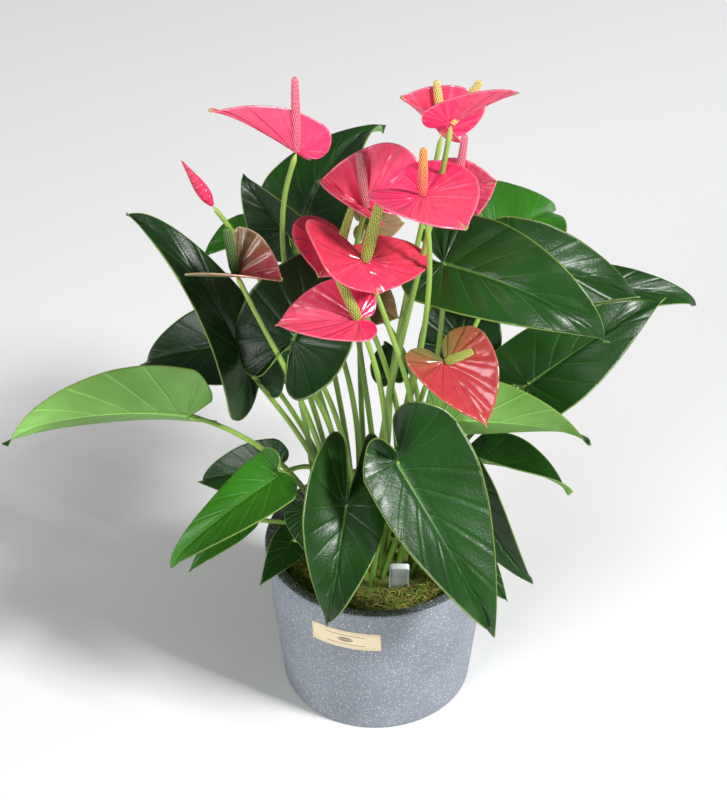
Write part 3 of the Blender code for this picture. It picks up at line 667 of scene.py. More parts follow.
def turned_piece(name, profile, sides, materials):
    """A solid of revolution, drawn out of a circle ring by ring as on a wheel."""
    deselect()
    radius, height = profile[0]
    bpy.ops.mesh.primitive_circle_add(vertices=sides, radius=radius, location=(0, 0, height))
    piece = bpy.context.object
    piece.name = piece.data.name = name
    bpy.ops.object.mode_set(mode="EDIT")
    bpy.ops.mesh.select_all(action="SELECT")
    bpy.ops.mesh.edge_face_add()
    for wider, higher in profile[1:]:
        bpy.ops.mesh.extrude_region_move(
            TRANSFORM_OT_translate={"value": (0, 0, higher - height)})
        bpy.ops.transform.resize(value=(wider / radius, wider / radius, 1),
                                 center_override=(0, 0, higher))
        radius, height = wider, higher
    bpy.ops.mesh.select_all(action="SELECT")
    bpy.ops.mesh.normals_make_consistent(inside=False)
    bpy.ops.object.mode_set(mode="OBJECT")
    bpy.ops.object.transform_apply(location=True, rotation=True, scale=True)
    for material in materials:
        piece.data.materials.append(material)
    bpy.ops.object.shade_smooth_by_angle(angle=SMOOTH_ANGLE)
    return piece


def seat(piece, slot, *nodes):
    """The piece rides on the plant's one body and stands for the CAD nodes."""
    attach(piece, "root")
    if nodes:
        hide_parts(*nodes)


def stalk_piece(name, stem, rows, swelling, skin, node):
    """A stalk from below the mix to its joint, with its swelling at each share of its length."""
    path = resample(stem.path[:STALK_POINTS], rows)
    path[0, 2] -= STALK_DEPTH
    share = np.linspace(0, 1, rows)
    radii = STALK_FOOT_RADIUS + (STALK_NECK_RADIUS - STALK_FOOT_RADIUS) * share + swelling(share)
    radii[0] = radii[-1] = POINT_RADIUS
    seat(grid_piece(name, tube(path, radii, STALK_SIDES), (skin,), True), "stalk_green", node)


def knuckle(share):
    """The knuckle below a leaf's blade."""
    swell = np.exp(-((share - KNUCKLE_PLACE) / KNUCKLE_SPREAD) ** 2)
    return (KNUCKLE_RADIUS - STALK_NECK_RADIUS) * swell


def collar(share):
    """The collar below a spathe."""
    return COLLAR_SWELL * np.clip((share - COLLAR_START) / (1 - COLLAR_START), 0, 1)


def no_swelling(share):
    return 0 * share


def quilt_wave(along, veins, drift):
    """How near each row is to a side vein: 1 on it and 0 midway between two."""
    return 0.5 + 0.5 * np.cos(2 * math.pi * (along * veins + drift))


def midrib_line(chord, arch, curl):
    """The midrib in the upright plane along the chord: lengths, places and slopes from the joint.

    It bends evenly by arch over its length and by curl near its tip, and ends at the chord's end.
    """
    lengths = np.linspace(-2.4, 1.2, 361)
    start = np.searchsorted(lengths, 0)
    slope = -arch * lengths - curl * np.clip((lengths - 0.55) / 0.45, 0, 1.2) ** 2
    line = np.zeros((len(lengths), 2))
    middle = (slope[1:] + slope[:-1]) / 2
    step = np.diff(lengths)[:, None]
    line[1:] = np.cumsum(np.column_stack((np.cos(middle), np.sin(middle))) * step, axis=0)
    line -= line[start]
    end = np.array([np.interp(1.0, lengths, line[:, axis]) for axis in (0, 1)])
    scale = chord / np.linalg.norm(end)
    turn = -math.atan2(end[1], end[0])
    line = np.column_stack(turned(line[:, 0], line[:, 1], turn)) * scale
    return lengths, line, slope + turn, scale


def blade_spots(joint, tip, face, half_width, lobe, fold, arch, twist, ripple, look):
    """A blade's middle surface with its veins and waves worked in.

    look holds what sets one blade off from another: widths and folds of its two sides, how its
    margins cup, how its tip curls, how deep it is quilted between its veins, and its waves.
    """
    tip = place(look["tip"]) if "tip" in look else tip
    face, half = look.get("face", face), look.get("half_width", half_width)
    lobe, fold = look.get("lobe", lobe), look.get("fold", fold)
    chord = np.linalg.norm(tip - joint)
    lengths, line, slopes, length = midrib_line(chord, math.radians(arch),
                                                math.radians(look["curl"]))
    outline = smooth_rows(look["outline"], BLADE_STEPS)
    rows, columns = len(outline), BLADE_COLUMNS
    share = np.linspace(-1, 1, columns)[None, :]
    forward, side, start = outline[:, 0:1], outline[:, 1:2], np.maximum(outline[:, 2:3], 0)
    side = np.maximum(side, 0)
    along = np.arange(rows)[:, None] / (rows - 1)
    reach = np.where(share < 0, look["left_lobe"], look["right_lobe"]) * lobe
    forward = np.where(forward > 0, forward, forward * reach)
    width = np.where(share < 0, look["left"], look["right"]) * half
    slant = np.where(share < 0, look["left_low"], look["right_low"])
    width = width * (1 + slant * (along - 0.45))
    across = np.abs(share)
    x = start + (forward - start) * across
    y = np.sign(share) * side * width * across ** look["bow"]
    folds = np.radians(fold + np.where(share < 0, look["left_fold"], look["right_fold"]))
    rise = np.tan(folds) * soft_fold(y, half) + ripple * MM / length * ripple_wave(along, share)
    wave = np.sin(2 * math.pi * (look["waves"] * along + 0.3 * np.sign(share) + look["drift"]))
    rise = rise + look["ruffle"] * half * wave * across ** 2.5
    rise = rise + look["cup"] * half * (np.abs(y) / half) ** 2
    rise = rise + look["hood"] * half * np.clip(1 - along / 0.45, 0, 1) ** 1.5 * across ** 2
    ridge = np.where(share < 0, quilt_wave(along, look["veins"], look["drift"]),
                     quilt_wave(along, look["veins"], look["drift"] + 0.37))
    swell = np.clip(np.minimum(across * 5, (1 - across) * 6), 0, 1)
    rise = rise - look["quilt"] * half * ridge * swell * (0.35 + 0.65 * np.sin(math.pi * along))
    rise = rise - look["channel"] * half * np.exp(-(y / (0.06 * half)) ** 2) * (x > 0)
    y = y * np.cos(folds)
    roll = np.radians(twist) * x
    y, rise = turned(y, rise, roll)
    slope = np.interp(x, lengths, slopes)
    forward = np.interp(x, lengths, line[:, 0]) - rise * length * np.sin(slope)
    up = np.interp(x, lengths, line[:, 1]) + rise * length * np.cos(slope)
    return laid(joint, tip, face, forward, y * length, up)[:, ::-1]


class Shader:
    """A material that is put together from nodes."""

    def __init__(self, name):
        self.material = bpy.data.materials.new(name)
        self.material.use_nodes = True
        self.tree = self.material.node_tree
        self.surface = self.tree.nodes["Principled BSDF"]

    def node(self, kind, inputs=(), **settings):
        node = self.tree.nodes.new(kind)
        for key, value in settings.items():
            setattr(node, key, value)
        for key, value in dict(inputs).items():
            self.put(node, key, value)
        return node

    def put(self, node, key, value):
        if isinstance(value, bpy.types.NodeSocket):
            self.tree.links.new(value, node.inputs[key])
        elif node.inputs[key].type == "RGBA":
            node.inputs[key].default_value = (*value, 1.0)
        else:
            node.inputs[key].default_value = value

    def coordinates(self, kind="Object"):
        return self.node("ShaderNodeTexCoord").outputs[kind]

    def split(self, vector):
        parts = self.node("ShaderNodeSeparateXYZ", {0: vector})
        return parts.outputs[0], parts.outputs[1], parts.outputs[2]

    def maths(self, operation, first, second=0.0):
        return self.node("ShaderNodeMath", {0: first, 1: second}, operation=operation).outputs[0]

    def add(self, first, second):
        return self.maths("ADD", first, second)

    def minus(self, first, second):
        return self.maths("SUBTRACT", first, second)

    def times(self, first, second):
        return self.maths("MULTIPLY", first, second)

    def highest(self, first, second):
        return self.maths("MAXIMUM", first, second)

    def size(self, value):
        return self.maths("ABSOLUTE", value)

    def step(self, value, low, high, start=0.0, end=1.0):
        """Runs smoothly from start to end as value goes from low to high."""
        return self.node("ShaderNodeMapRange", {0: value, 1: low, 2: high, 3: start, 4: end},
                         interpolation_type="SMOOTHSTEP").outputs[0]

    def mix(self, share, first, second):
        return self.node("ShaderNodeMix", {0: share, 6: first, 7: second},
                         data_type="RGBA").outputs[2]

    def mapped(self, vector, scale, rotation):
        return self.node("ShaderNodeMapping", {"Vector": vector, "Scale": scale,
                                               "Rotation": rotation}).outputs[0]

    def noise(self, vector, scale, detail, roughness=0.5):
        return self.node("ShaderNodeTexNoise", {"Vector": vector, "Scale": scale, "Detail": detail,
                                                "Roughness": roughness}).outputs[0]

    def cells(self, vector, scale, feature="F1"):
        return self.node("ShaderNodeTexVoronoi", {"Vector": vector, "Scale": scale},
                         feature=feature).outputs["Distance"]

    def bump(self, height, distance, strength):
        return self.node("ShaderNodeBump", {"Height": height, "Distance": distance,
                                            "Strength": strength}).outputs[0]

    def finish(self, colour, roughness, normal=None, **constants):
        """Sets the surface. Constants are socket names with _ for a space."""
        self.put(self.surface, "Base Color", colour)
        self.put(self.surface, "Roughness", roughness)
        if normal is not None:
            self.tree.links.new(normal, self.surface.inputs["Normal"])
        for key, value in constants.items():
            self.surface.inputs[key.replace("_", " ")].default_value = value
        return self.material


def tint(colour, factor):
    """A colour made paler or darker by a factor."""
    return tuple(min(1.0, part * factor) for part in colour)


def blade_fields(shader, veins):
    """Shares across and along a blade from its UV map, and how near a side vein each spot is."""
    u, v, _ = shader.split(shader.coordinates("UV"))
    centred = shader.minus(u, 0.5)
    across = shader.times(shader.size(centred), 2.0)
    side = shader.times(shader.maths("GREATER_THAN", centred, 0.0), -0.37)
    phase = shader.add(shader.times(v, veins), shader.add(side, 0.37))
    wobble = shader.noise(shader.coordinates(), 40.0, 2.0)
    phase = shader.add(phase, shader.times(shader.minus(wobble, 0.5), 0.12))
    gap = shader.size(shader.minus(shader.maths("FRACT", phase), 0.5))
    near = shader.minus(0.5, gap)
    return across, v, near


def leaf_upper(name, settings, colour):
    """Waxy upper side of a leaf: fine pale veins, quilting between them and a pale margin."""
    shader = Shader(name)
    across, along, near = blade_fields(shader, settings.leaf_veins)
    place = shader.coordinates()
    broad = shader.noise(place, 14.0, 3.0)
    fine = shader.noise(place, 900.0, 2.0)
    dark = tint(colour, 0.62)
    base = shader.mix(shader.step(broad, 0.32, 0.68), dark, colour)
    base = shader.mix(shader.times(shader.step(fine, 0.4, 0.7), 0.25), base,
                      tint(colour, 1.5))
    vein = settings.leaf_vein_colour
    side_vein = shader.times(shader.step(near, 0.0, 0.040, 1.0, 0.0),
                             shader.step(across, 0.30, 0.95, 0.22, 0.03))
    base = shader.mix(side_vein, base, vein)
    midrib = shader.step(across, 0.012, 0.035, 0.85, 0.0)
    midrib = shader.times(midrib, shader.step(along, 0.35, 1.0, 1.0, 0.35))
    base = shader.mix(midrib, base, vein)
    margin = shader.step(across, 0.972, 0.99, 0.0, 0.50)
    base = shader.mix(margin, base, settings.leaf_margin_colour)
    net = shader.cells(place, 260.0, "DISTANCE_TO_EDGE")
    height = shader.add(shader.times(shader.step(near, 0.0, 0.16), 0.6),
                          shader.times(shader.step(net, 0.0, 0.25), 0.10))
    height = shader.add(height, shader.times(shader.noise(place, 45.0, 2.0), 1.2))
    height = shader.add(height, shader.times(shader.step(across, 0.0, 0.05), 0.8))
    normal = shader.bump(height, 0.0009, 0.6)
    roughness = shader.add(settings.leaf_roughness,
                             shader.times(shader.noise(place, 55.0, 4.0), 0.16))
    return shader.finish(base, roughness, normal, Coat_Weight=0.10, Coat_Roughness=0.18,
                         Specular_IOR_Level=0.32)


def leaf_under(name, settings):
    """Dull, paler underside of a leaf with raised veins."""
    shader = Shader(name)
    across, along, near = blade_fields(shader, settings.leaf_veins)
    place = shader.coordinates()
    colour = settings.leaf_under_colour
    base = shader.mix(shader.step(shader.noise(place, 20.0, 4.0), 0.3, 0.7),
                      tint(colour, 0.72), colour)
    pale = tint(colour, 1.5)
    rib = shader.step(across, 0.015, 0.05, 0.8, 0.0)
    vein = shader.step(near, 0.0, 0.07, 0.45, 0.0)
    base = shader.mix(shader.highest(rib, vein), base, pale)
    base = shader.mix(shader.step(across, 0.96, 0.99, 0.0, 0.7), base, settings.leaf_margin_colour)
    height = shader.add(shader.step(near, 0.0, 0.09, 1.0, 0.0),
                          shader.step(across, 0.02, 0.06, 2.0, 0.0))
    height = shader.add(height, shader.times(shader.noise(place, 300.0, 3.0), 0.4))
    return shader.finish(base, 0.52, shader.bump(height, 0.0006, 0.6), Specular_IOR_Level=0.35)


def spathe_skin(name, settings, main, deep, pale, blend_low, blend_high, gloss=0.20):
    """Lacquer-like spathe: puckered between raised veins, with a pale rim and a greenish tip.

    The main colour gives way to the deep one between blend_low and blend_high along the blade.
    """
    shader = Shader(name)
    across, along, near = blade_fields(shader, settings.spathe_veins)
    place = shader.coordinates()
    broad = shader.noise(place, 30.0, 4.0)
    zone = shader.add(along, shader.times(shader.minus(broad, 0.5), 0.35))
    base = shader.mix(shader.step(zone, blend_low, blend_high), main, deep)
    mottle = shader.step(shader.noise(place, 160.0, 5.0, 0.6), 0.45, 0.72, 0.0, 0.16)
    base = shader.mix(mottle, base, pale)
    vein = shader.times(shader.step(near, 0.0, 0.08, 0.30, 0.0),
                        shader.step(across, 0.1, 0.9, 1.0, 0.35))
    base = shader.mix(vein, base, pale)
    base = shader.mix(shader.step(across, 0.94, 0.995, 0.0, 0.55), base, pale)
    tip = shader.step(along, 0.945, 0.985, 0.0, 0.8)
    base = shader.mix(tip, base, settings.spathe_tip_colour)
    pucker = shader.cells(place, 150.0, "SMOOTH_F1")
    height = shader.add(shader.step(near, 0.0, 0.22, 1.0, 0.0),
                          shader.times(pucker, 0.7))
    height = shader.add(height, shader.times(broad, 1.2))
    normal = shader.bump(height, 0.0013, 0.6)
    return shader.finish(base, gloss, normal, Coat_Weight=0.22, Coat_Roughness=0.12,
                         Subsurface_Weight=0.12, Subsurface_Scale=0.004)


def stalk_skin(name, foot, neck):
    """Smooth green stalk with faint lines along it, from its foot's colour to its neck's."""
    shader = Shader(name)
    u, v, _ = shader.split(shader.coordinates("UV"))
    line = shader.node("ShaderNodeCombineXYZ", {0: shader.times(u, 9.0),
                                                1: shader.times(v, 2.0)}).outputs[0]
    streak = shader.noise(line, 3.0, 4.0)
    base = shader.mix(shader.step(v, 0.05, 0.8), foot, neck)
    base = shader.mix(shader.step(streak, 0.45, 0.75, 0.0, 0.45), base, tint(foot, 0.6))
    base = shader.mix(shader.step(v, 0.955, 0.985, 0.0, 0.6), base, (0.45, 0.52, 0.10))
    place = shader.coordinates()
    height = shader.add(streak, shader.times(shader.noise(place, 500.0, 2.0), 0.3))
    return shader.finish(base, 0.36, shader.bump(height, 0.0004, 0.5), Coat_Weight=0.1)


def spadix_skin(name, base_colour, tip_colour, groove_shade_colour):
    """Spadix of tiny florets in crossing spirals, coloured at base and tip, with painted shade
    between the florets.
    """
    shader = Shader(name)
    u, v, _ = shader.split(shader.coordinates("UV"))
    turn = shader.times(u, 2 * math.pi * SPADIX_SPIRALS)
    rise = shader.times(v, 2 * math.pi * SPADIX_ROWS)
    first = shader.maths("COSINE", shader.add(turn, rise))
    second = shader.maths("COSINE", shader.minus(turn, rise))
    floret = shader.add(shader.times(shader.add(first, second), 0.25), 0.5)
    skin = shader.mix(shader.step(v, 0.1, 0.95), base_colour, tip_colour)
    spots = shader.noise(shader.coordinates(), 700.0, 2.0)
    skin = shader.mix(shader.step(spots, 0.45, 0.7, 0.0, 0.35), skin, tint(tip_colour, 1.5))
    # The grooves between the florets take a darker colour: painted shade.
    base = shader.mix(shader.step(floret, 0.25, 0.62), groove_shade_colour, skin)
    return shader.finish(base, 0.5, shader.bump(floret, 0.0005, 0.8), Subsurface_Weight=0.1,
                         Subsurface_Scale=0.002)


def stone_skin(name, colour, speck_colour, roughness, sparkle):
    """Cast stone with pale specks and short pale fibres in it."""
    shader = Shader(name)
    place = shader.coordinates()
    cloud = shader.noise(place, 22.0, 5.0)
    grain = shader.noise(place, 1400.0, 3.0, 0.7)
    base = shader.mix(shader.step(cloud, 0.3, 0.7), tint(colour, 0.88),
                      tint(colour, 1.1))
    base = shader.mix(shader.step(grain, 0.35, 0.7, 0.0, 0.35), base, tint(colour, 1.6))
    base = shader.mix(shader.step(grain, 0.30, 0.42, 0.35, 0.0), base, tint(colour, 0.45))
    specks = 0.0
    for scale, stretch, turn, size, share in (
            (380.0, (1, 1, 1), (0.3, 0.2, 0.1), 0.26, 0.84),
            (850.0, (1, 1, 1), (0.8, 0.5, 0.4), 0.36, 0.66),
            (330.0, (2.6, 2.6, 0.8), (0.6, 0.9, 0.2), 0.26, 0.84),
            (330.0, (0.8, 2.6, 2.6), (0.2, 0.5, 1.1), 0.26, 0.86)):
        moved = shader.mapped(place, stretch, turn)
        cell = shader.node("ShaderNodeTexVoronoi", {"Vector": moved, "Scale": scale})
        chosen = shader.maths("GREATER_THAN", shader.split(cell.outputs["Color"])[0], share)
        dot = shader.step(cell.outputs["Distance"], size * 0.6, size, 1.0, 0.0)
        specks = shader.highest(specks, shader.times(dot, chosen))
    base = shader.mix(shader.times(specks, sparkle), base, speck_colour)
    height = shader.add(shader.times(grain, 0.7), shader.times(specks, 0.4))
    height = shader.add(height, shader.times(shader.noise(place, 240.0, 4.0), 0.5))
    return shader.finish(base, roughness, shader.bump(height, 0.0007, 0.55),
                         Specular_IOR_Level=0.35)


def rough_skin(name, colour, second, scale, distance, roughness=0.95):
    """Broken, dull matter such as potting mix, moss or bark in two colours, with painted shade in
    the hollows between lumps.
    """
    shader = Shader(name)
    place = shader.coordinates()
    lumps = shader.cells(place, scale)
    fibre = shader.noise(place, scale * 2.2, 6.0, 0.7)
    base = shader.mix(shader.step(fibre, 0.35, 0.65), colour, second)
    # Darker towards the edges of the lumps, where the bump sinks: painted shade in the hollows.
    base = shader.mix(shader.step(lumps, 0.1, 0.55, 0.0, 0.6), base, tint(colour, 0.3))
    height = shader.add(shader.times(lumps, -1.0), fibre)
    return shader.finish(base, roughness, shader.bump(height, distance, 1.0),
                         Specular_IOR_Level=0.2)


def plastic_skin(name, colour, roughness, scale, distance):
    """Moulded plastic with a faint texture and uneven gloss."""
    shader = Shader(name)
    place = shader.coordinates()
    tone = shader.noise(place, scale * 0.1, 3.0)
    base = shader.mix(shader.step(tone, 0.3, 0.7), tint(colour, 0.85), colour)
    rough = shader.add(roughness, shader.times(tone, 0.12))
    return shader.finish(base, rough, shader.bump(shader.noise(place, scale, 3.0), distance, 0.4))


def label_skin(name, settings):
    """Cream paper label with two rules and a small leaf, and no lettering."""
    shader = Shader(name)
    u, v, _ = shader.split(shader.coordinates("UV"))
    place = shader.coordinates()
    paper = shader.mix(shader.step(shader.noise(place, 800.0, 4.0), 0.35, 0.7),
                       tint(settings.label_colour, 0.93), settings.label_colour)
    beside = shader.size(shader.minus(u, 0.5))
    above = shader.minus(v, 0.5)
    rules = 0.0
    for height in (0.24, -0.26):
        gap = shader.size(shader.minus(above, height))
        rule = shader.times(shader.step(gap, 0.012, 0.024, 1.0, 0.0),
                            shader.step(beside, 0.27, 0.285, 1.0, 0.0))
        rules = shader.highest(rules, rule)
    reach = shader.times(beside, 3.2)
    tall = shader.times(shader.size(above), 1.9)
    leaf = shader.add(shader.times(reach, reach), shader.maths("POWER", tall, 1.3))
    leaf = shader.step(leaf, 0.13, 0.17, 1.0, 0.0)
    rib = shader.step(shader.size(above), 0.008, 0.018, 0.0, 1.0)
    mark = shader.highest(rules, shader.times(leaf, rib))
    ink = settings.label_ink_colour
    base = shader.mix(shader.times(mark, 0.8), paper, ink)
    return shader.finish(base, 0.6, shader.bump(shader.noise(place, 1500.0, 3.0), 0.0001, 0.5))


def colour_setting(name, description, default):
    return bpy.props.FloatVectorProperty(name=name, description=description, default=default,
                                         size=3, min=0.0, max=1.0, subtype="COLOR")


def number_setting(name, description, default, **limits):
    return bpy.props.FloatProperty(name=name, description=description, default=default, **limits)


class AnthuriumPotSettings(bpy.types.PropertyGroup):
    """Pots, label, tag and what fills them."""

    stone_colour: colour_setting("Stone", "Colour of the cover pot's wall", (0.215, 0.238, 0.277))
    rim_colour: colour_setting("Rim", "Colour of the rim and the inside", (0.085, 0.092, 0.105))
    speck_colour: colour_setting("Specks", "Colour of the specks in the stone", (0.86, 0.88, 0.90))
    grow_colour: colour_setting("Nursery pot", "Colour of the nursery pot", (0.010, 0.010, 0.010))
    soil_colour: colour_setting("Potting mix", "Colour of the potting mix", (0.030, 0.018, 0.010))
    moss_colour: colour_setting("Moss", "Main colour of the moss", (0.300, 0.330, 0.080))
    moss_strands: bpy.props.IntProperty(name="Moss strands", description="Number of moss strands",
                                        default=2600, min=0)
    label_colour: colour_setting("Label", "Colour of the paper label", (0.855, 0.720, 0.475))
    label_ink_colour: colour_setting("Print", "Colour of the label's print", (0.10, 0.06, 0.05))
    tag_colour: colour_setting("Tag", "Colour of the plant tag", (0.72, 0.77, 0.80))
    thread: number_setting("Strand", "Thickness of a moss strand",
                           0.0005, min=0.0001, unit="LENGTH")


class AnthuriumPlantSettings(bpy.types.PropertyGroup):
    """Leaves, stalks and flowers."""

    dark_leaf_colour: colour_setting("Old leaves", "Colour of the old leaves",
                                     (0.007, 0.036, 0.006))
    leaf_colour: colour_setting("Leaves", "Colour of most leaves", (0.012, 0.062, 0.007))
    young_leaf_colour: colour_setting("Young leaves", "Colour of the young leaves",
                                      (0.034, 0.180, 0.010))
    leaf_under_colour: colour_setting("Undersides", "Colour of the undersides",
                                      (0.190, 0.420, 0.085))
    leaf_vein_colour: colour_setting("Veins", "Colour of the veins", (0.110, 0.260, 0.050))
    leaf_margin_colour: colour_setting("Margins", "Colour of the leaves' margins",
                                       (0.300, 0.430, 0.080))
    leaf_roughness: number_setting("Leaf roughness", "Roughness of the leaves",
                                   0.27, min=0.0, max=1.0)
    leaf_veins: number_setting("Leaf veins", "Side veins on each side of a leaf", 11.0, min=1.0)
    leaf_thickness: number_setting("Leaf thickness", "Thickness of the leaves",
                                   0.0009, min=0.0002, unit="LENGTH")
    spathe_colour: colour_setting("Spathes", "Colour of the fresh spathes", (0.950, 0.030, 0.140))
    spathe_pale_colour: colour_setting("Spathe veins", "Colour of their veins",
                                       (0.930, 0.200, 0.300))
    spathe_tip_colour: colour_setting("Spathe tips", "Colour of their tips", (0.450, 0.420, 0.150))
    spathe_veins: number_setting("Spathe vein count", "Veins on each side of a spathe",
                                 8.0, min=1.0)
    spathe_thickness: number_setting("Spathe thickness", "Thickness of the spathes",
                                     0.0010, min=0.0002, unit="LENGTH")
    stalk_colour: colour_setting("Stalks", "Colour of the stalks", (0.290, 0.470, 0.075))
    stalk_foot_colour: colour_setting("Stalk feet", "Colour of the stalks' feet",
                                      (0.130, 0.260, 0.040))


class AnthuriumStageSettings(bpy.types.PropertyGroup):
    """Floor, light and camera."""

    floor_colour: colour_setting("Floor", "Colour of the floor", (0.86, 0.86, 0.86))
    sky: number_setting("Surrounding light", "Strength of the surrounding light", 0.11, min=0.0)
    key: number_setting("Key light", "Power of the key light", 385.0,
                                 min=0.0, unit="POWER")
    top: number_setting("Top light", "Power of the light overhead", 25.0,
                                 min=0.0, unit="POWER")
    fill: number_setting("Fill light", "Power of the fill light", 150.0,
                                  min=0.0, unit="POWER")
    camera_distance: number_setting("Camera distance", "From the pot's axis", 1.2, unit="LENGTH")
    camera_height: number_setting("Camera height", "Above the floor", 1.22, unit="LENGTH")
    camera_beside: number_setting("Camera beside", "Beside the pot's axis", -0.0066, unit="LENGTH")
    camera_tilt: number_setting("Camera tilt", "From straight down",
                                math.radians(52.3), subtype="ANGLE")
    camera_turn: number_setting("Camera turn", "Round the upright axis",
                                math.radians(0.24), subtype="ANGLE")
    lens: number_setting("Lens", "Focal length in millimetres", 85.7)


class ANTHURIUM_OT_cover_pot(bpy.types.Operator):
    """Turns the stone-look cover pot, with a softly rounded lip and foot"""

    bl_idname = "anthurium.cover_pot"
    bl_label = "Cover Pot"

    def execute(self, context):
        settings = context.scene.anthurium_pot
        inner_top = POT_RADIUS - POT_WALL
        inner_base = POT_BASE_RADIUS - POT_WALL
        foot = [(POT_BASE_RADIUS - POT_BASE_ROUND * (1 - math.sin(turn)),
                 POT_BASE_ROUND * (1 - math.cos(turn))) for turn in np.radians((0, 22, 45, 68, 90))]
        wall = [(POT_BASE_RADIUS + (POT_RADIUS - POT_BASE_RADIUS) * share,
                 POT_BASE_ROUND + (POT_HEIGHT - POT_LIP_ROUND - POT_BASE_ROUND) * share)
                for share in (0.25, 0.5, 0.75, 1.0)]
        lip = [(POT_RADIUS - POT_LIP_ROUND * (1 - math.cos(turn)),
                POT_HEIGHT - POT_LIP_ROUND * (1 - math.sin(turn)))
               for turn in np.radians((30, 60, 90))]
        inside = [(inner_top + POT_LIP_ROUND, POT_HEIGHT - POT_LIP_SLOPE * 0.8),
                  (inner_top + POT_LIP_ROUND * 0.3, POT_HEIGHT - POT_LIP_SLOPE * 1.1),
                  (inner_top, POT_HEIGHT - POT_LIP_SLOPE * 1.8), (inner_base, POT_FLOOR)]
        profile = [(PROFILE_START, 0.0)] + foot + wall + lip + inside
        stone = stone_skin("cast_stone", settings.stone_colour, settings.speck_colour, 0.66, 0.75)
        rim = stone_skin("rough_rim", settings.rim_colour, settings.speck_colour, 0.85, 0.95)
        pot = turned_piece("stone_pot", profile, 160, (stone, rim))
        for face in pot.data.polygons:
            on_top = face.center.z > POT_HEIGHT - POT_LIP_ROUND * 0.5
            inward = face.normal.xy.dot(face.center.xy) < 0
            if (on_top or inward) and face.center.xy.length < POT_RADIUS - POT_LIP_ROUND * 0.4:
                face.material_index = 1
        seat(pot, "stone_pot", "cover_pot")
        return {"FINISHED"}


class ANTHURIUM_OT_nursery_pot(bpy.types.Operator):
    """Turns the thin black nursery pot with its rolled rim"""

    bl_idname = "anthurium.nursery_pot"
    bl_label = "Nursery Pot"

    def execute(self, context):
        settings = context.scene.anthurium_pot
        radius, top, low = GROW_HIGH.x, GROW_HIGH.z, GROW_LOW.z
        base = radius * GROW_BASE_SHARE
        inner = radius - GROW_WALL - BEAD
        profile = [(PROFILE_START, low), (base, low), (radius - BEAD, top - 0.006),
                   (radius, top - 0.005), (radius, top - BEAD), (radius - BEAD, top),
                   (inner, top - BEAD),
                   (inner, top - 0.006), (base - GROW_WALL, low + GROW_WALL)]
        black = plastic_skin("black_plastic", settings.grow_colour, 0.42, 900.0, 0.0002)
        seat(turned_piece("grow_pot", profile, 128, (black,)), "black_plastic", "nursery_pot")
        return {"FINISHED"}


class ANTHURIUM_OT_potting_mix(bpy.types.Operator):
    """Fills the nursery pot with dark potting mix and scatters bark on it"""

    bl_idname = "anthurium.potting_mix"
    bl_label = "Potting Mix"

    def execute(self, context):
        settings = context.scene.anthurium_pot
        radius, top, low = SOIL_HIGH.x, SOIL_TOP, SOIL_LOW.z
        surface = [(radius * (1 - ring / SOIL_RINGS), top) for ring in range(SOIL_RINGS)]
        mix = rough_skin("potting_mix", settings.soil_colour, (0.075, 0.042, 0.020), 420.0, 0.0025)
        profile = [(PROFILE_START, low), (radius * 0.9, low)] + surface
        soil = turned_piece("soil", profile, 96, (mix,))
        rng = np.random.default_rng(4)
        for vertex in soil.data.vertices:
            if vertex.co.z > top - 0.001 and vertex.co.xy.length < radius * 0.97:
                vertex.co.z -= abs(rng.normal(0.0, SOIL_PITS))
        seat(soil, "potting_mix", "potting_mix")
        bark = rough_skin("bark", (0.055, 0.028, 0.012), (0.14, 0.075, 0.035), 600.0, 0.0012)
        deselect()
        for _ in range(CHIPS):
            reach, turn = MOSS_OPENING * math.sqrt(rng.random()), rng.random() * 2 * math.pi
            size = rng.uniform(*CHIP_SIZES)
            bpy.ops.mesh.primitive_ico_sphere_add(
                subdivisions=1, radius=size, rotation=tuple(rng.uniform(0, math.pi, 3)),
                scale=CHIP_SHAPE,
                location=(FEET_MIDDLE[0] + reach * math.cos(turn),
                          FEET_MIDDLE[1] + reach * math.sin(turn), top + size * 0.2))
            bpy.context.object["chip"] = True
        deselect()
        chips = [thing for thing in bpy.data.objects if thing.get("chip")]
        for chip in chips:
            chip.select_set(True)
        bpy.context.view_layer.objects.active = chips[0]
        bpy.ops.object.join()
        bpy.ops.object.transform_apply(location=True, rotation=True, scale=True)
        chip = bpy.context.object
        chip.name = chip.data.name = "bark_chips"
        chip.data.materials.append(bark)
        del chip["chip"]
        seat(chip, "potting_mix")
        return {"FINISHED"}


